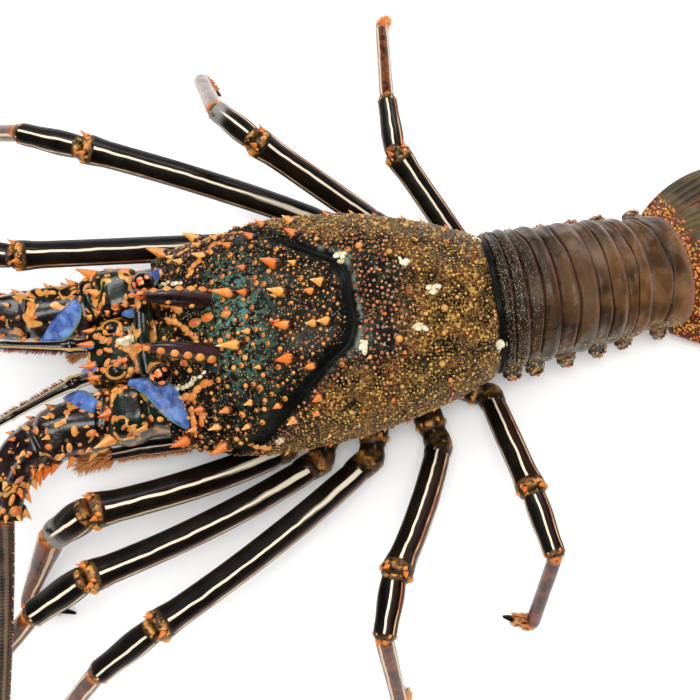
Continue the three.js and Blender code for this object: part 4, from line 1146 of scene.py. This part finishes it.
def spread_places(part, spacing, most, draw, lowest):
    """Up to most points of a part, apart from each other and facing up, with the directions out of it."""
    out = skin_normals(part)
    chosen = np.zeros(0, int)
    for index in draw.permutation(np.nonzero(out[:, 2] > lowest)[0]):
        gaps = np.linalg.norm(part.points[chosen] - part.points[index], axis=1)
        if len(chosen) < most and np.all(gaps > spacing):
            chosen = np.r_[chosen, index]
    return part.points[chosen], out[chosen]


def lumps(name, part, spacing, most, radius, finish, slot, draw, lowest):
    """Irregular orange lumps, round and long ones, over a part's upper side, but not on its domes."""
    feet, out = spread_places(part, spacing, most, draw, lowest)
    kept = np.hypot(feet[:, 0] - DOME_X, np.abs(feet[:, 1]) - DOME_Y) > DOME_RADIUS
    feet, out = feet[kept], out[kept]
    radii = radius * draw.uniform(0.35, 1.2, len(feet))
    ahead = unit(draw.normal(size=(len(feet), 3)))
    groups = []
    for first, stretch in ((0, 1.1), (1, 1.7), (2, 2.4)):
        some = slice(first, None, 3)
        groups.append(spikes(
            feet[some] - 0.3 * radii[some, None] * out[some], out[some], radii[some] / stretch**0.5,
            0.75 * radii[some], GRANULE_PROFILE, 10, 0, stretch, ahead=ahead[some],
            tint=draw.random(len(feet[some])), warm=draw.uniform(0.4, 1.0, len(feet[some])),
        ))
    place(name, joined(groups), finish, slot)


def head_x(share):
    return HEAD_REAR + share * (HEAD_FRONT - HEAD_REAR)


def head_plate(sideways, half_width, power, sides, relief, mirror=1):
    """A plate of the head with a rounded box for its section, along a line from rear to front."""
    x = np.linspace(HEAD_REAR, HEAD_FRONT - 0.6, 40)
    path = np.stack([x, sideways(x), (along(HEAD_TOP, x) + along(HEAD_BOTTOM, x)) / 2], 1)

    def radius(share, angle):
        close = np.sqrt(np.clip(1 - (np.clip(share - 0.9, 0, 1) / 0.1) ** 2, 0, 1)) * 0.45 + 0.55
        height = (along(HEAD_TOP, head_x(share)) - along(HEAD_BOTTOM, head_x(share))) / 2
        across = half_width(head_x(share)) * close * signed_power(np.sin(angle), power)
        rise = height * close * signed_power(np.cos(angle), power)
        return across, rise + relief(share, angle)
    return tube(path, radius, sides, mirror)


def antennular_plate(finish, spines, granules, cream, draw):
    def relief(share, angle):
        across = np.sin(angle)
        hollow = -1.6 * bell(share - 0.35, 0.2) * bell(across, 0.5)
        ridge = 1.2 * bell(np.abs(across) - 0.45, 0.16) * step(share, 0.2, 0.6)
        return step(np.cos(angle), 0.4, 0.9) * (hollow + ridge)
    part = head_plate(np.zeros_like, lambda x: np.full_like(x, PLATE_HALF_WIDTH - 0.2), 0.45, 96, relief)
    place("antennular_plate", part, finish, "plate", ["antennular_plate"])
    lumps("antennular_plate_lumps", part, 2.6, 70, 1.5, granules, "plate", draw, 0.35)
    x, y, lengths, radii = np.array([
        (x, side * y, length, radius) for side in (-1, 1) for x, y, length, radius in PLATE_SPINES
    ]).T
    feet = np.stack([x, y, along(HEAD_TOP, x) - 0.8], 1)
    aims = np.stack([np.full(len(x), -0.85), 0.1 * np.sign(y), np.full(len(x), 0.4)], 1)
    part = spikes(feet, aims, radii, lengths, SPINE_PROFILE, 12, 0.15, tint=draw.random(len(x)) * 0.4)
    place("plate_spines", part, spines, "plate")
    plate_domes(finish, granules)
    plate_patch(cream)


def plate_domes(finish, granules):
    """The smooth domes near the antennules, each in a knobbly orange rim."""
    feet = np.array([(-82.5, side * 8.5, along(HEAD_TOP, -82.5) - 0.8) for side in (-1, 1)])
    for name, radius, height, coat in (("rims", 3.5, 1.3, granules), ("domes", 2.8, 2.2, finish)):
        part = spikes(
            feet, [(0, 0, 1.0)] * 2, [radius] * 2, [height] * 2, GRANULE_PROFILE, 24, 0, 1.25, warm=0.9
        )
        place(f"plate_{name}", part, coat, "plate")


def plate_patch(cream):
    patch = np.array(PLATE_PATCH)
    feet = np.column_stack([patch, along(HEAD_TOP, patch[:, 0]) - 1.1])
    part = spikes(feet, [(0, 0, 1.0)] * 4, [1.7, 1.9, 1.5, 1.2], [1.4] * 4, GRANULE_PROFILE, 14, 0, 1.6)
    place("plate_patch", part, cream, "plate")


def antenna_base(name, side, finish, spines, granules, draw):
    inner = PLATE_HALF_WIDTH + 0.3

    def half_width(x):
        return (along(HEAD_HALF_WIDTH, x) - inner) / 2 * (1 - 0.08 * bell(x + 86, 1.6))

    def relief(share, angle):
        x = head_x(share)
        furrow = -1.5 * bell(x + 73.5, 1.2) - 1.2 * bell(x + 86, 1.4)
        swell = furrow + 1.2 * bell(x - DOME_X, 4) + 0.3 * np.sin(x * 0.9 + 3 * np.sin(angle))
        return step(np.cos(angle), 0.1, 0.7) * swell

    def middle(x):
        return side * (inner + along(HEAD_HALF_WIDTH, x)) / 2
    part = head_plate(middle, half_width, 0.62, 84, relief, side)
    place(f"antenna_base_{name}", part, finish, "antenna", [f"antenna_base_{name}"])
    lumps(f"antenna_base_lumps_{name}", part, 3.0, 70, 1.5, granules, "antenna", draw, 0.1)
    rows = list(BASE_SPINES)
    for x in np.arange(-90, -68, 3.6):
        y = 15.5 + draw.uniform(-1, 1)
        rows.append((x, y, along(HEAD_TOP, x) - 1, 2.4 * draw.uniform(0.8, 1.3), 1.2))
        rows.append((x + 1, 27 + draw.uniform(-1.5, 1.5), along(HEAD_TOP, x) - 3, 2.4, 1.2))
    rows = np.array(rows)
    feet = rows[:, :3] * np.array([1, side, 1])
    aims = np.stack([np.full(len(rows), -0.8), 0.02 * feet[:, 1], np.full(len(rows), 0.5)], 1)
    part = spikes(feet, aims, rows[:, 4], rows[:, 3], SPINE_PROFILE, 11, 0.2, tint=draw.random(len(rows)))
    place(f"antenna_base_spines_{name}", part, spines, "antenna")


def antenna_stem(name, side, finish, spines, granules, draw):
    limb = Limb(smooth(STEM_PATHS[name], 90), even_table(STEM_RADII), side)
    joint = 0.4

    def radius(share, angle):
        reach = along(limb.table, share)
        reach = reach * (1 - 0.12 * bell(share - joint, 0.02) + 0.05 * bell(share - joint + 0.06, 0.04))
        reach = reach * (1 + 0.06 * step(share, 0.9, 0.96)) + 0.35 * np.sin(5 * angle + 9 * share)
        return reach * np.sin(angle), 0.97 * reach * np.cos(angle)
    part = tube(limb.path, radius, 56, side)
    place(f"antenna_stem_{name}", part, finish, "antenna", [f"antenna_stem_{name}"])
    lumps(f"antenna_stem_lumps_{name}", part, 4.0, STEM_LUMPS[name], 2.0, granules, "antenna", draw, -0.2)
    rows = []
    for degrees, count, length in STEM_SPINE_ROWS:
        for share in np.linspace(0.1, 0.96, count):
            rows.append((share + draw.uniform(-0.03, 0.03), -degrees + draw.uniform(-9, 9), length))
    rows = np.array(rows)
    feet, out, forward = on_tube(limb, np.clip(rows[:, 0], 0, 0.98), rows[:, 1])
    lengths = rows[:, 2] * draw.uniform(0.7, 1.2, len(rows))
    part = spikes(
        feet - 0.5 * out, out + 0.7 * forward, 0.38 * lengths, lengths, SPINE_PROFILE, 11, 0.2,
        ahead=forward, tint=draw.random(len(rows)),
    )
    place(f"antenna_stem_spines_{name}", part, spines, "antenna")


def flagellum(name, side, finish, spines, draw):
    limb = Limb(smooth(LASH_PATHS[name], 620), even_table(LASH_RADII), side)
    length = np.sum(np.linalg.norm(np.diff(limb.path, axis=0), axis=1))

    def radius(share, angle):
        reach = along(limb.table, share) * (1 + 0.035 * np.sin(LASH_RINGS * share * length))
        return reach * np.sin(angle), reach * np.cos(angle)
    part = tube(limb.path, radius, 14, side, length=lambda share, angle: share * length)
    solids = [f"flagellum_near_{name}", f"flagellum_far_{name}"]
    place(f"flagellum_{name}", part, finish, "flagellum", solids)
    shares = np.repeat(np.arange(6, 0.62 * length, 4.2) / length, 2)
    degrees = np.tile([78.0, -78.0], len(shares) // 2) + draw.uniform(-8, 8, len(shares))
    feet, out, forward = on_tube(limb, shares, degrees)
    heights = 1.7 * (1 - shares)
    part = spikes(
        feet - 0.2 * out, out + 1.3 * forward, 0.3 * heights, heights, SPINE_PROFILE, 6, ahead=forward,
        tint=draw.random(len(shares)),
    )
    place(f"flagellum_spines_{name}", part, spines, "flagellum")


def membrane(name, finish):
    points, widths, thickness = MEMBRANES[name]

    def radius(share, angle):
        reach = np.maximum(along(even_table(widths), share), 0.2)
        return reach * signed_power(np.sin(angle), 0.8), thickness * np.minimum(reach / 2, 1) * np.cos(angle)
    part = tube(smooth(points, 30), radius, 28, edge=lambda share, angle: np.abs(np.sin(angle)))
    place(f"membrane_{name}", part, finish, "antenna")


def antennule(name, side, finish, bristles, draw):
    limb = Limb(smooth(ANTENNULE_PATHS[name], 60), even_table(ANTENNULE_RADII), side)

    def radius(share, angle):
        reach = along(limb.table, share)
        reach = reach * (1 + 0.35 * bell(share - 0.16, 0.03) + 0.2 * bell(share - 0.6, 0.015))
        reach = reach + 0.2 * bell(share - 0.98, 0.02)
        return reach * np.sin(angle), reach * np.cos(angle)
    parts = [tube(limb.path, radius, 20, side)]
    end, ahead = limb.path[-1], unit(limb.path[-1] - limb.path[-2])
    for way in (-1, 1):
        turn = np.array([0, way * THREAD_SPREAD, 0])
        thread = smooth([
            end - 2 * ahead, end + 6 * ahead, end + THREAD_LENGTH / 2 * ahead + turn / 2 + [0, 0, 1],
            end + THREAD_LENGTH * ahead + turn,
        ], 50)
        parts.append(round_tube(thread, even_table([1.2, 1.0, 0.75, 0.35]), 10, mirror=side))
    place(f"antennule_{name}", joined(parts), finish, "antennule", [f"antennule_{name}"])
    brush(
        f"antennule_fringe_{name}", limb, 420, (0.2, 0.98), (-120, -70), (0.8, 2.2), 0.13, 0.3, bristles,
        "antennule", draw,
    )


def maxilliped(name, side, finish, bristles, draw):
    limb = Limb(smooth(MAXILLIPED_PATHS[name], 80), even_table(MAXILLIPED_RADII), side)

    def radius(share, angle):
        reach = along(limb.table, share)
        for joint in (0.42, 0.68, 0.86):
            reach = reach * (1 - 0.16 * bell(share - joint, 0.012) + 0.08 * bell(share - joint + 0.03, 0.02))
        return reach * np.sin(angle), reach * np.cos(angle)
    part = tube(limb.path, radius, 24, side)
    place(f"maxilliped_{name}", part, finish, "antennule", [f"maxilliped_{name}"])
    brush(
        f"maxilliped_brush_{name}", limb, 700, (0.82, 1), (-180, 180), BRUSH_LENGTHS[name], 0.26, 0.6,
        bristles, "antennule", draw,
    )
    brush(
        f"maxilliped_fringe_{name}", limb, 300, (0.45, 0.8), (70, 120), (0.8, 1.8), 0.14, 0.3, bristles,
        "antennule", draw,
    )


# Bristles: thin solid tufts that lie along what they grow from

def brush(name, limb, count, shares, degrees, lengths, radius, lean, finish, slot, draw):
    """Bristles between two shares of a limb's length and two angles, with their roots on its map."""
    share = draw.uniform(*shares, count)
    angle = draw.uniform(*degrees, count)
    feet, out, forward = on_tube(limb, share, angle)
    drawn = draw.uniform(*lengths, count)
    part = spikes(
        feet, out + lean * forward, np.full(count, radius), drawn, TUFT_PROFILE, 3, 0.15,
        ahead=forward, tint=draw.random(count),
    )
    corner = np.radians([0, 120, 240])
    ring = np.stack([np.cos(corner), np.sin(corner)], 1) * TUFT_PATCH / 2
    local = np.vstack([ring, ring * 0.7, ring * 0.4, np.zeros((1, 2))])
    roots = np.stack([0.05 + 0.9 * share, 0.5 + angle / 400], 1)
    place(name, part, finish, slot, patches=(roots[:, None] + local[None]).reshape(-1, 2))


# Walking legs

def leg_points(number, name, side):
    """The joints of a leg: hip, knee, wrist, ankle and tip."""
    lengths = LEG_PAIRS[number][1]
    hip, yaws, pitches, _ = LEG_POSES[name][number]
    points = [np.array([hip[0], side * hip[1], hip[2]])]
    for length, yaw, pitch in zip(lengths, yaws, (*pitches, None)[:4]):
        if pitch is None:
            pitch = -np.degrees(np.arcsin(min((points[-1][2] - TIP_HEIGHT) / length, 1)))
        points.append(points[-1] + length * heading(side * yaw, pitch))
    return points


def limb_tube(limb, knob, **marks):
    """A leg segment with faint lengthwise ridges, and orange rims where knob(share) comes near 1."""
    def radius(share, angle):
        reach = along(limb.table, share) * (1 + 0.012 * np.cos(6 * angle))
        return reach * np.sin(angle), 0.94 * reach * np.cos(angle)
    return tube(
        limb.path, radius, 36, limb.side, knob=lambda share, angle: knob(share),
        right=float(limb.side > 0), **marks,
    )


def condyles(limb, share, radius):
    """The rounded orange knobs round the end of a leg segment."""
    degrees = np.array([30.0, -48, 92, -90, 150, -150])
    feet, out, forward = on_tube(limb, np.full(len(degrees), share), degrees)
    radii = radius * np.array([0.8, 0.7, 1.2, 1.1, 0.8, 0.8])
    return spikes(
        feet - 0.6 * out, out + 0.5 * forward, radii, radii * 0.95, GRANULE_PROFILE, 10, ahead=forward,
        stretch=1.3, tint=0.4, warm=0.9,
    )


def coxa_limb(number, side, hip, knee):
    """A leg's root, from the body round the hip to the start of its longest segment."""
    x, y = LEG_PAIRS[number][0]
    path = straight([np.array([x, side * y, COXA_HEIGHT]), hip, hip + 0.1 * (knee - hip)], 40)
    return Limb(path, COXA_RADII, side)


def merus_limb(number, name, side, hip, knee, end):
    """A leg's longest segment, bowed to the rear from just past its hip to its knee."""
    bow, thick = LEG_POSES[name][number][3], LEG_PAIRS[number][2]
    rearward = -side * unit(np.cross([0, 0, 1.0], knee - hip))
    points = [hip + s * (knee - hip) + 4 * s * (1 - s) * bow * rearward for s in (0.06, 0.35, 0.65, 0.9, 1)]
    shape = [(0, 4.7), (0.05, 5.2), (0.35, 5.4), (1 - 2 * end, 5.4), (1 - 0.45 * end, 6.0), (1, 4.8)]
    return Limb(smooth(points, 90), [(share, thick * reach) for share, reach in shape], side)


def carpus_limb(number, name, side, knee, wrist):
    """A leg's short segment after the knee."""
    across, girth = wrist - knee, LEG_GIRTHS[name][number][0]
    path = smooth([knee - 0.05 * across, knee + 0.35 * across, wrist + 0.02 * across], 40)
    return Limb(path, [(share, girth * reach) for share, reach in CARPUS_SHAPE], side)


def propodus_limb(number, name, side, wrist, ankle):
    """A leg's shank, from wrist to ankle."""
    _, first, last = LEG_GIRTHS[name][number]
    table = list(zip((0, 0.06, 0.5, 0.94, 1), (first * 0.84, first, (first + last) / 2, last, last * 0.84)))
    return Limb(straight([wrist - 0.03 * (ankle - wrist), ankle], 50), table, side)


def claw_limb(number, side, ankle, tip):
    """A leg's curved end."""
    rise = 0.06 * LEG_PAIRS[number][1][3] * np.array([0, 0, 1.0])
    path = smooth([ankle - 0.06 * (tip - ankle), ankle + 0.5 * (tip - ankle) + rise, tip], 40)
    return Limb(path, CLAW_RADII, side)


def upper_leg(coxa, merus, end, rear):
    """The leg's root and longest segment together."""
    def root_knob(share):
        rings = 0.5 * bell(share - 0.53, 0.05) + 0.3 * bell(share - 0.3, 0.1)
        return 0.3 + rings + 0.45 * bell(share - 0.8, 0.1)

    def knee_knob(share):
        return 0.55 * step(share, 1 - end, 1 - 0.7 * end) + 0.45 * bell(share - 1 + 0.35 * end, 0.2 * end)
    root = limb_tube(coxa, root_knob, rear=rear)
    shaft = limb_tube(merus, knee_knob, base=lambda share, angle: step(share, 0.4, 0.05), rear=rear)
    return joined([root, shaft])


def lower_leg(propodus, claw, grey):
    """The leg's shank and claw together."""
    shank = limb_tube(
        propodus, lambda share: step(share, 0.07, 0.02) + 0.8 * step(share, 0.93, 0.98),
        grey=grey, claw=0.0,
    )
    hook = limb_tube(
        claw, lambda share: 0.9 * step(share, 0.3, 0.1),
        claw=lambda share, angle: step(share, 0.5, 0.68), grey=0.0,
    )
    return joined([shank, hook])


def leg(number, name, side, coats, draw):
    hip, knee, wrist, ankle, tip = leg_points(number, name, side)
    tag = f"leg_{number + 1}"
    rear = float(number >= REAR_LEGS)
    grey = float((number, name) in GREY_SHANKS)
    end = KNEE_REACH / LEG_PAIRS[number][1][0]
    coxa = coxa_limb(number, side, hip, knee)
    merus = merus_limb(number, name, side, hip, knee, end)
    carpus = carpus_limb(number, name, side, knee, wrist)
    propodus = propodus_limb(number, name, side, wrist, ankle)
    claw = claw_limb(number, side, ankle, tip)

    knee_part = limb_tube(
        carpus, lambda share: 0.9 * bell(share - 0.03, 0.06) + 0.7 * bell(share - 0.96, 0.05),
        grey=lambda share, angle: grey * step(share, 0.55, 0.8), rear=rear,
    )
    segments = [
        ("upper", upper_leg(coxa, merus, end, rear), "leg", "leg"), ("knee", knee_part, "leg", "leg"),
        ("lower", lower_leg(propodus, claw, grey * float(side > 0)), "lower", "lower_leg"),
    ]
    for segment, part, finish, slot in segments:
        node = f"{tag}_{segment}_{name}"
        place(node, part, coats[finish], slot, [node])

    knobs = joined([
        condyles(merus, 1 - 0.35 * end, 1.2 * LEG_PAIRS[number][2]), condyles(carpus, 0.93, 0.9),
        condyles(coxa, 0.5, 1.2),
    ])
    place(f"{tag}_knobs_{name}", knobs, coats["granules"], "leg")
    feet, out, forward = on_tube(merus, [0.985, 0.985], [40, -40])
    points = spikes(
        feet - 0.4 * out, 0.45 * out + 0.7 * forward, [1.2, 1.2], [4.2, 4.2], SPINE_PROFILE, 10,
        ahead=forward, tint=0.3,
    )
    place(f"{tag}_spines_{name}", points, coats["spines"], "leg")
    brush(
        f"{tag}_brush_{name}", claw, 260, (0.02, 0.66), (-180, 180), (1.2, 2.8), 0.2, 1.8,
        coats["bristles"], "lower_leg", draw,
    )


# Abdomen and tail fan

def ring_points(index, share, degrees, lift):
    """Points of a tail ring at shares of its length, lift mm out of its plain form."""
    mixed = RING_JOINTS[index][:, None, None] * (1 - share) + RING_JOINTS[index + 1][:, None, None] * share
    x, y, top, bottom, half_width, yaw, pitch = mixed
    normal = np.moveaxis(heading(yaw, pitch), 0, -1)
    sideways = unit(np.cross([0.0, 0, 1], normal))
    up = np.cross(normal, sideways)
    sine, cosine = np.sin(np.radians(degrees)), np.cos(np.radians(degrees))
    size = along([(0, 0.965), (0.3, 0.98), (0.6, 1), (1, 1.005)], share)
    height = top - bottom
    across = (half_width * size + lift) * signed_power(sine, np.where(cosine > 0, 0.95, 0.7))
    rise = np.where(cosine > 0, height * 0.6 * size + lift, height * 0.4) * np.where(
        cosine > 0, signed_power(cosine, 0.95), cosine
    )
    middle = np.stack([x, y, bottom + 0.4 * height], -1)
    level = np.abs((degrees + 180) % 360 - 180)
    sag = RING_SAG * bell(level, 62) * (np.clip(share, 0, 1) if index == 0 else 1)
    return middle + sideways * across[..., None] + up * rise[..., None] + normal * sag[..., None]


def abdomen_ring(index, finish):
    """A tail ring with a crumpled back, a fold across it and a rim at its rear."""
    share, degrees = np.meshgrid(
        np.linspace(-0.03, 1.05, 74), np.linspace(0, 360, 120, endpoint=False), indexing="ij"
    )
    level = np.abs((degrees + 180) % 360 - 180)
    back = step(level, 88, 70)
    turn = np.radians(degrees)
    fold = 0.47 + 0.03 * np.cos(np.radians(level * 2)) + 0.035 * np.sin(3 * turn + 1.7 * index)
    lift = -1.9 * bell(share + 0.03, 0.1) - 2.0 * step(share, 0.97, 1.05)
    lift = lift + back * (-1.2 * bell(share - fold, 0.03) + 0.5 * bell(share - fold + 0.1, 0.07))
    lift = lift + 0.6 * bell(share - 0.82, 0.14)
    crumple = np.sin(5 * turn + 2.1 * index) * np.sin(8 * share + index)
    crumple = crumple + 0.8 * np.sin(8 * turn - 7 * share + 1.3 * index)
    lift = lift + 0.4 * back * crumple * bell(share - 0.5, 0.35)
    ends = np.maximum(step(share, 0.97, 1.0), step(share, 0.05, 0))
    marks = {
        "aft": np.clip((index + share) / 4.6, 0, 1),
        "flank": step(level, 60, 88) * step(level, 128, 112),
        "rim": np.maximum(bell(share - 0.93, 0.05), 0.7 * back * bell(share - fold + 0.07, 0.04)),
        # where painted shade darkens the ring: the fold across its back and both of its ends
        "dip": np.maximum(0.8 * back * bell(share - fold, 0.028), ends),
    }
    node = f"abdomen_{index + 1}"
    part = grid_part(ring_points(index, share, degrees, lift), marks)
    place(f"{node}_shell", part, finish, "abdomen", [node])


def pleuron_limb(index, name, side):
    """The line of a tail ring's side lobe, with the radii at which its knobs stand."""
    x, y, _, bottom, half_width, *_ = (RING_JOINTS[index] + RING_JOINTS[index + 1]) / 2
    foot = np.array([x - 0.5, y + side * (half_width - 3), bottom + 13])
    tip = np.array([x + 3, y + side * (half_width + PLEURON_REACH[name]), bottom + 1])
    path = smooth([foot, foot + 0.5 * (tip - foot) + [0, side * 1.2, 0], tip], 26)
    return Limb(path, PLEURON_KNOB_LINE, side)


def pleura(index, finish, granules, draw):
    """The rounded side lobes of a tail ring, knobbed along their edges."""
    def radius(share, angle):
        reach = along(PLEURON_RADII, share)
        return reach * np.sin(angle) * (1 + 0.12 * np.sin(19 * share)), 0.55 * reach * np.cos(angle)
    parts, knobs = [], []
    for name, side in SIDES.items():
        limb = pleuron_limb(index, name, side)
        parts.append(tube(limb.path, radius, 26, side, aft=(index + 0.5) / 6, flank=1.0))
        shares = draw.uniform(0.25, 1.0, PLEURON_KNOBS)
        feet, out, forward = on_tube(limb, shares, draw.uniform(-110, 110, PLEURON_KNOBS))
        radii = draw.uniform(0.4, 0.9, PLEURON_KNOBS)
        knobs.append(spikes(
            feet - 0.4 * out, out + 0.3 * forward, radii, radii * 1.3, GRANULE_PROFILE, 7,
            tint=draw.random(PLEURON_KNOBS), warm=draw.uniform(0, 0.6, PLEURON_KNOBS),
        ))
    place(f"pleura_{index + 1}", joined(parts), finish, "abdomen")
    place(f"pleura_knobs_{index + 1}", joined(knobs), granules, "abdomen")


def blade_frame(shape, side, spread):
    """Where a blade's root is, and the directions to its rear, to its side and up from it."""
    x, y, *_, yaw, _ = RING_JOINTS[-1]
    axis = heading(yaw, 0)
    ahead, out, height = shape.root
    root = np.array([x, y, height]) + ahead * axis + side * out * np.cross([0, 0, 1.0], axis)
    rearward = heading(yaw + side * spread * shape.yaw, shape.pitch)
    sideways = unit(np.cross([0, 0, 1.0], rearward))
    return root, rearward, sideways, np.cross(rearward, sideways)


def blade(name, shape, side, spread, finish):
    """A tail fan blade with fine ribs that spread towards its rear edge."""
    root, rearward, sideways, up = blade_frame(shape, side, spread)
    share, angle = round_grid(np.linspace(0, 1, 70), 96)
    across = np.sin(angle)
    ribs = np.cos(across * RIB_TURN)
    rib = step(share, 0.3, 0.5) * step(ribs, 0.2, 0.95) * step(np.abs(across), 0.97, 0.9)
    middle_rib = bell(across, 0.07) * step(share, 0.95, 0.6)
    rise = along(shape.half_thick, share) * signed_power(np.cos(angle), 0.6)
    rise = rise + np.sign(np.cos(angle)) * (0.22 * rib + 0.7 * middle_rib * (1 - 0.7 * share))
    rear = share * shape.length * (1 + 0.012 * ribs * step(share, 0.9, 1))
    aside = along(shape.half_width, share) * across
    points = root + rear[..., None] * rearward + aside[..., None] * sideways + rise[..., None] * up
    marks = {
        "share": share, "rib": np.maximum(0.7 * rib, middle_rib),
        "edge": np.maximum(np.abs(across) ** 3, step(share, 0.9, 1.0)),
    }
    place(f"{name}_blade", grid_part(points, marks), finish, "fan", [name])


def fan_granules(name, shape, side, spread, finish, draw):
    """Orange granules over the hard root of a fan blade."""
    root, rearward, sideways, up = blade_frame(shape, side, spread)
    share = draw.uniform(0.04, 0.42, FAN_GRANULES) ** 1.1
    across = draw.uniform(-0.86, 0.86, FAN_GRANULES)
    reach = along(shape.half_width, share) * across
    rise = along(shape.half_thick, share) * (1 - np.abs(across) ** 3) * 0.96
    feet = root + (share * shape.length)[:, None] * rearward + reach[:, None] * sideways + rise[:, None] * up
    radii = draw.uniform(0.4, 0.85, FAN_GRANULES)
    aims = np.tile(up + 0.3 * rearward, (FAN_GRANULES, 1))
    tint = draw.random(FAN_GRANULES)
    part = spikes(feet, aims, radii, radii, GRANULE_PROFILE, 7, tint=tint, warm=0.85)
    place(f"{name}_granules", part, finish, "fan")


def sternum(finish):
    x, angle = round_grid(np.linspace(STERNUM_FRONT, STERNUM_REAR, 110), 80)
    bottom = along(STERNUM_BOTTOM, x)
    half_width = along(STERNUM_HALF_WIDTH, x) - 0.2
    cosine, sine = np.cos(angle), np.sin(angle)
    furrow = sum(bell(x - middle, 1.3) for middle in STERNUM_FURROWS) * 0.8
    y = half_width * signed_power(sine, np.where(cosine > 0, 0.5, 0.7))
    z = 12 + np.where(cosine > 0, 6 * signed_power(cosine, 0.4), (12 - bottom - furrow) * cosine)
    place("sternum_plate", grid_part(np.stack([x, y, z], -1), {}), finish, "underside", ["sternum"])


# Stage, light and camera

def stage():
    mesh = bpy.data.meshes.new("floor")
    corners = [(x * FLOOR_REACH, y * FLOOR_REACH, 0) for x, y in ((-1, -1), (1, -1), (1, 1), (-1, 1))]
    mesh.from_pydata(corners, [], [(0, 1, 2, 3)])
    mesh.materials.append(floor_finish())
    floor = bpy.data.objects.new("floor", mesh)
    bpy.context.scene.collection.objects.link(floor)


def sky():
    """An even pale light from all sides, which the shell doesn't mirror."""
    world = bpy.data.worlds.new("studio")
    world.use_nodes = True
    world.node_tree.nodes["Background"].inputs["Color"].default_value = SKY_COLOUR
    world.node_tree.nodes["Background"].inputs["Strength"].default_value = SKY_STRENGTH
    world.cycles_visibility.glossy = False
    bpy.context.scene.world = world
    bpy.context.scene.view_settings.view_transform = "Standard"


def lamps():
    for name, spot, width, power, tone in LAMPS:
        light = bpy.data.lights.new(name, "AREA")
        light.size = width
        light.energy = power
        light.color = tone
        lamp = bpy.data.objects.new(name, light)
        lamp.location = spot
        lamp.rotation_mode = "QUATERNION"
        lamp.rotation_quaternion = Vector(spot).to_track_quat("Z", "Y")
        bpy.context.scene.collection.objects.link(lamp)


def camera():
    azimuth, elevation = np.radians(CAMERA_AZIMUTH), np.radians(CAMERA_ELEVATION)
    flat = np.cos(elevation)
    back = np.array([np.sin(azimuth) * flat, -np.cos(azimuth) * flat, np.sin(elevation)])
    right = np.array([np.cos(azimuth), np.sin(azimuth), 0])
    made = bpy.data.objects.new("camera", bpy.data.cameras.new("camera"))
    made.data.sensor_width = 36
    made.data.lens = CAMERA_LENS
    made.data.clip_start = 0.01
    turn = np.eye(4)
    turn[:3] = np.stack([right, np.cross(back, right), back, np.array(CAMERA_PLACE) * MM], 1)
    made.matrix_world = Matrix(turn.tolist())
    bpy.context.scene.collection.objects.link(made)
    bpy.context.scene.camera = made


def head(draw, coats):
    """The plates, horns, eyes, feelers and mouth limbs."""
    granules, spines, plate = coats["granules"], coats["spines"], coats["plate"]
    antennular_plate(plate, spines, granules, coats["cream"], draw)
    antenna = blotched_finish("antenna_shell", "#0f090b", "#2a191c", 0.57)
    red_hair = bristle_finish("red_bristles", "#5c1c12", "#b4583c")
    horn_shell, eye_surface, lash_shell = horn_finish(), eye_finish(), lash_finish()
    antennule_shell, blue = antennule_finish(), membrane_finish()
    for name, side in SIDES.items():
        horn(name, side, horn_shell, granules)
        eye(name, eye_surface, plate)
        antenna_base(name, side, plate, spines, granules, draw)
        antenna_stem(name, side, antenna, spines, granules, draw)
        flagellum(name, side, lash_shell, spines, draw)
        antennule(name, side, antennule_shell, red_hair, draw)
        maxilliped(name, side, coats["leg"], coats["bristles"], draw)
    for name in MEMBRANES:
        membrane(name, blue)
    ocular_bar(plate)


def tail(draw, granules):
    """The tail rings with their side lobes, and the fan's five blades."""
    abdomen, fan = abdomen_finish(), fan_finish()
    for index in range(len(RING_JOINTS) - 1):
        abdomen_ring(index, abdomen)
        pleura(index, abdomen, granules, draw)
    blades = [("telson", TELSON, 1, 1)]
    for name, side in SIDES.items():
        blades.append((f"uropod_inner_{name}", INNER_BLADE, side, FAN_SPREAD[name]))
        blades.append((f"uropod_outer_{name}", OUTER_BLADE, side, FAN_SPREAD[name]))
    for name, shape, side, spread in blades:
        blade(name, shape, side, spread, fan)
        fan_granules(name, shape, side, spread, granules, draw)


def build():
    draw = np.random.default_rng(SEED)
    granules, spines, cream = granule_finish(), spine_finish(), cream_finish()
    coats = {
        "granules": granules, "spines": spines, "cream": cream, "leg": leg_finish(),
        "lower": lower_leg_finish(), "plate": blotched_finish("plate_shell", "#060d09", "#14281c", 0.555),
        "bristles": bristle_finish("orange_bristles", "#ff8622", "#ffc27c"),
    }
    carapace(carapace_finish())
    rows = spine_places(draw)
    carapace_spines(spines, rows, draw)
    carapace_granules(granules, rows, draw)
    cream_marks(cream, draw)
    front_ridges(granules, cream, draw)
    head(draw, coats)
    for name, side in SIDES.items():
        for number in range(len(LEG_PAIRS)):
            leg(number, name, side, coats, draw)
    tail(draw, granules)
    sternum(underside_finish())


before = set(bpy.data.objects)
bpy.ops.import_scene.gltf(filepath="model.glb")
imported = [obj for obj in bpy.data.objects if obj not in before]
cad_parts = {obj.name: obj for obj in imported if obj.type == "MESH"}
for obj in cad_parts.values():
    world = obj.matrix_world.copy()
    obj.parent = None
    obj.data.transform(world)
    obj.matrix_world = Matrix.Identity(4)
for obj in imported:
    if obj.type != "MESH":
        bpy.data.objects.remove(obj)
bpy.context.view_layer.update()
camera()
stage()
sky()
lamps()
build()
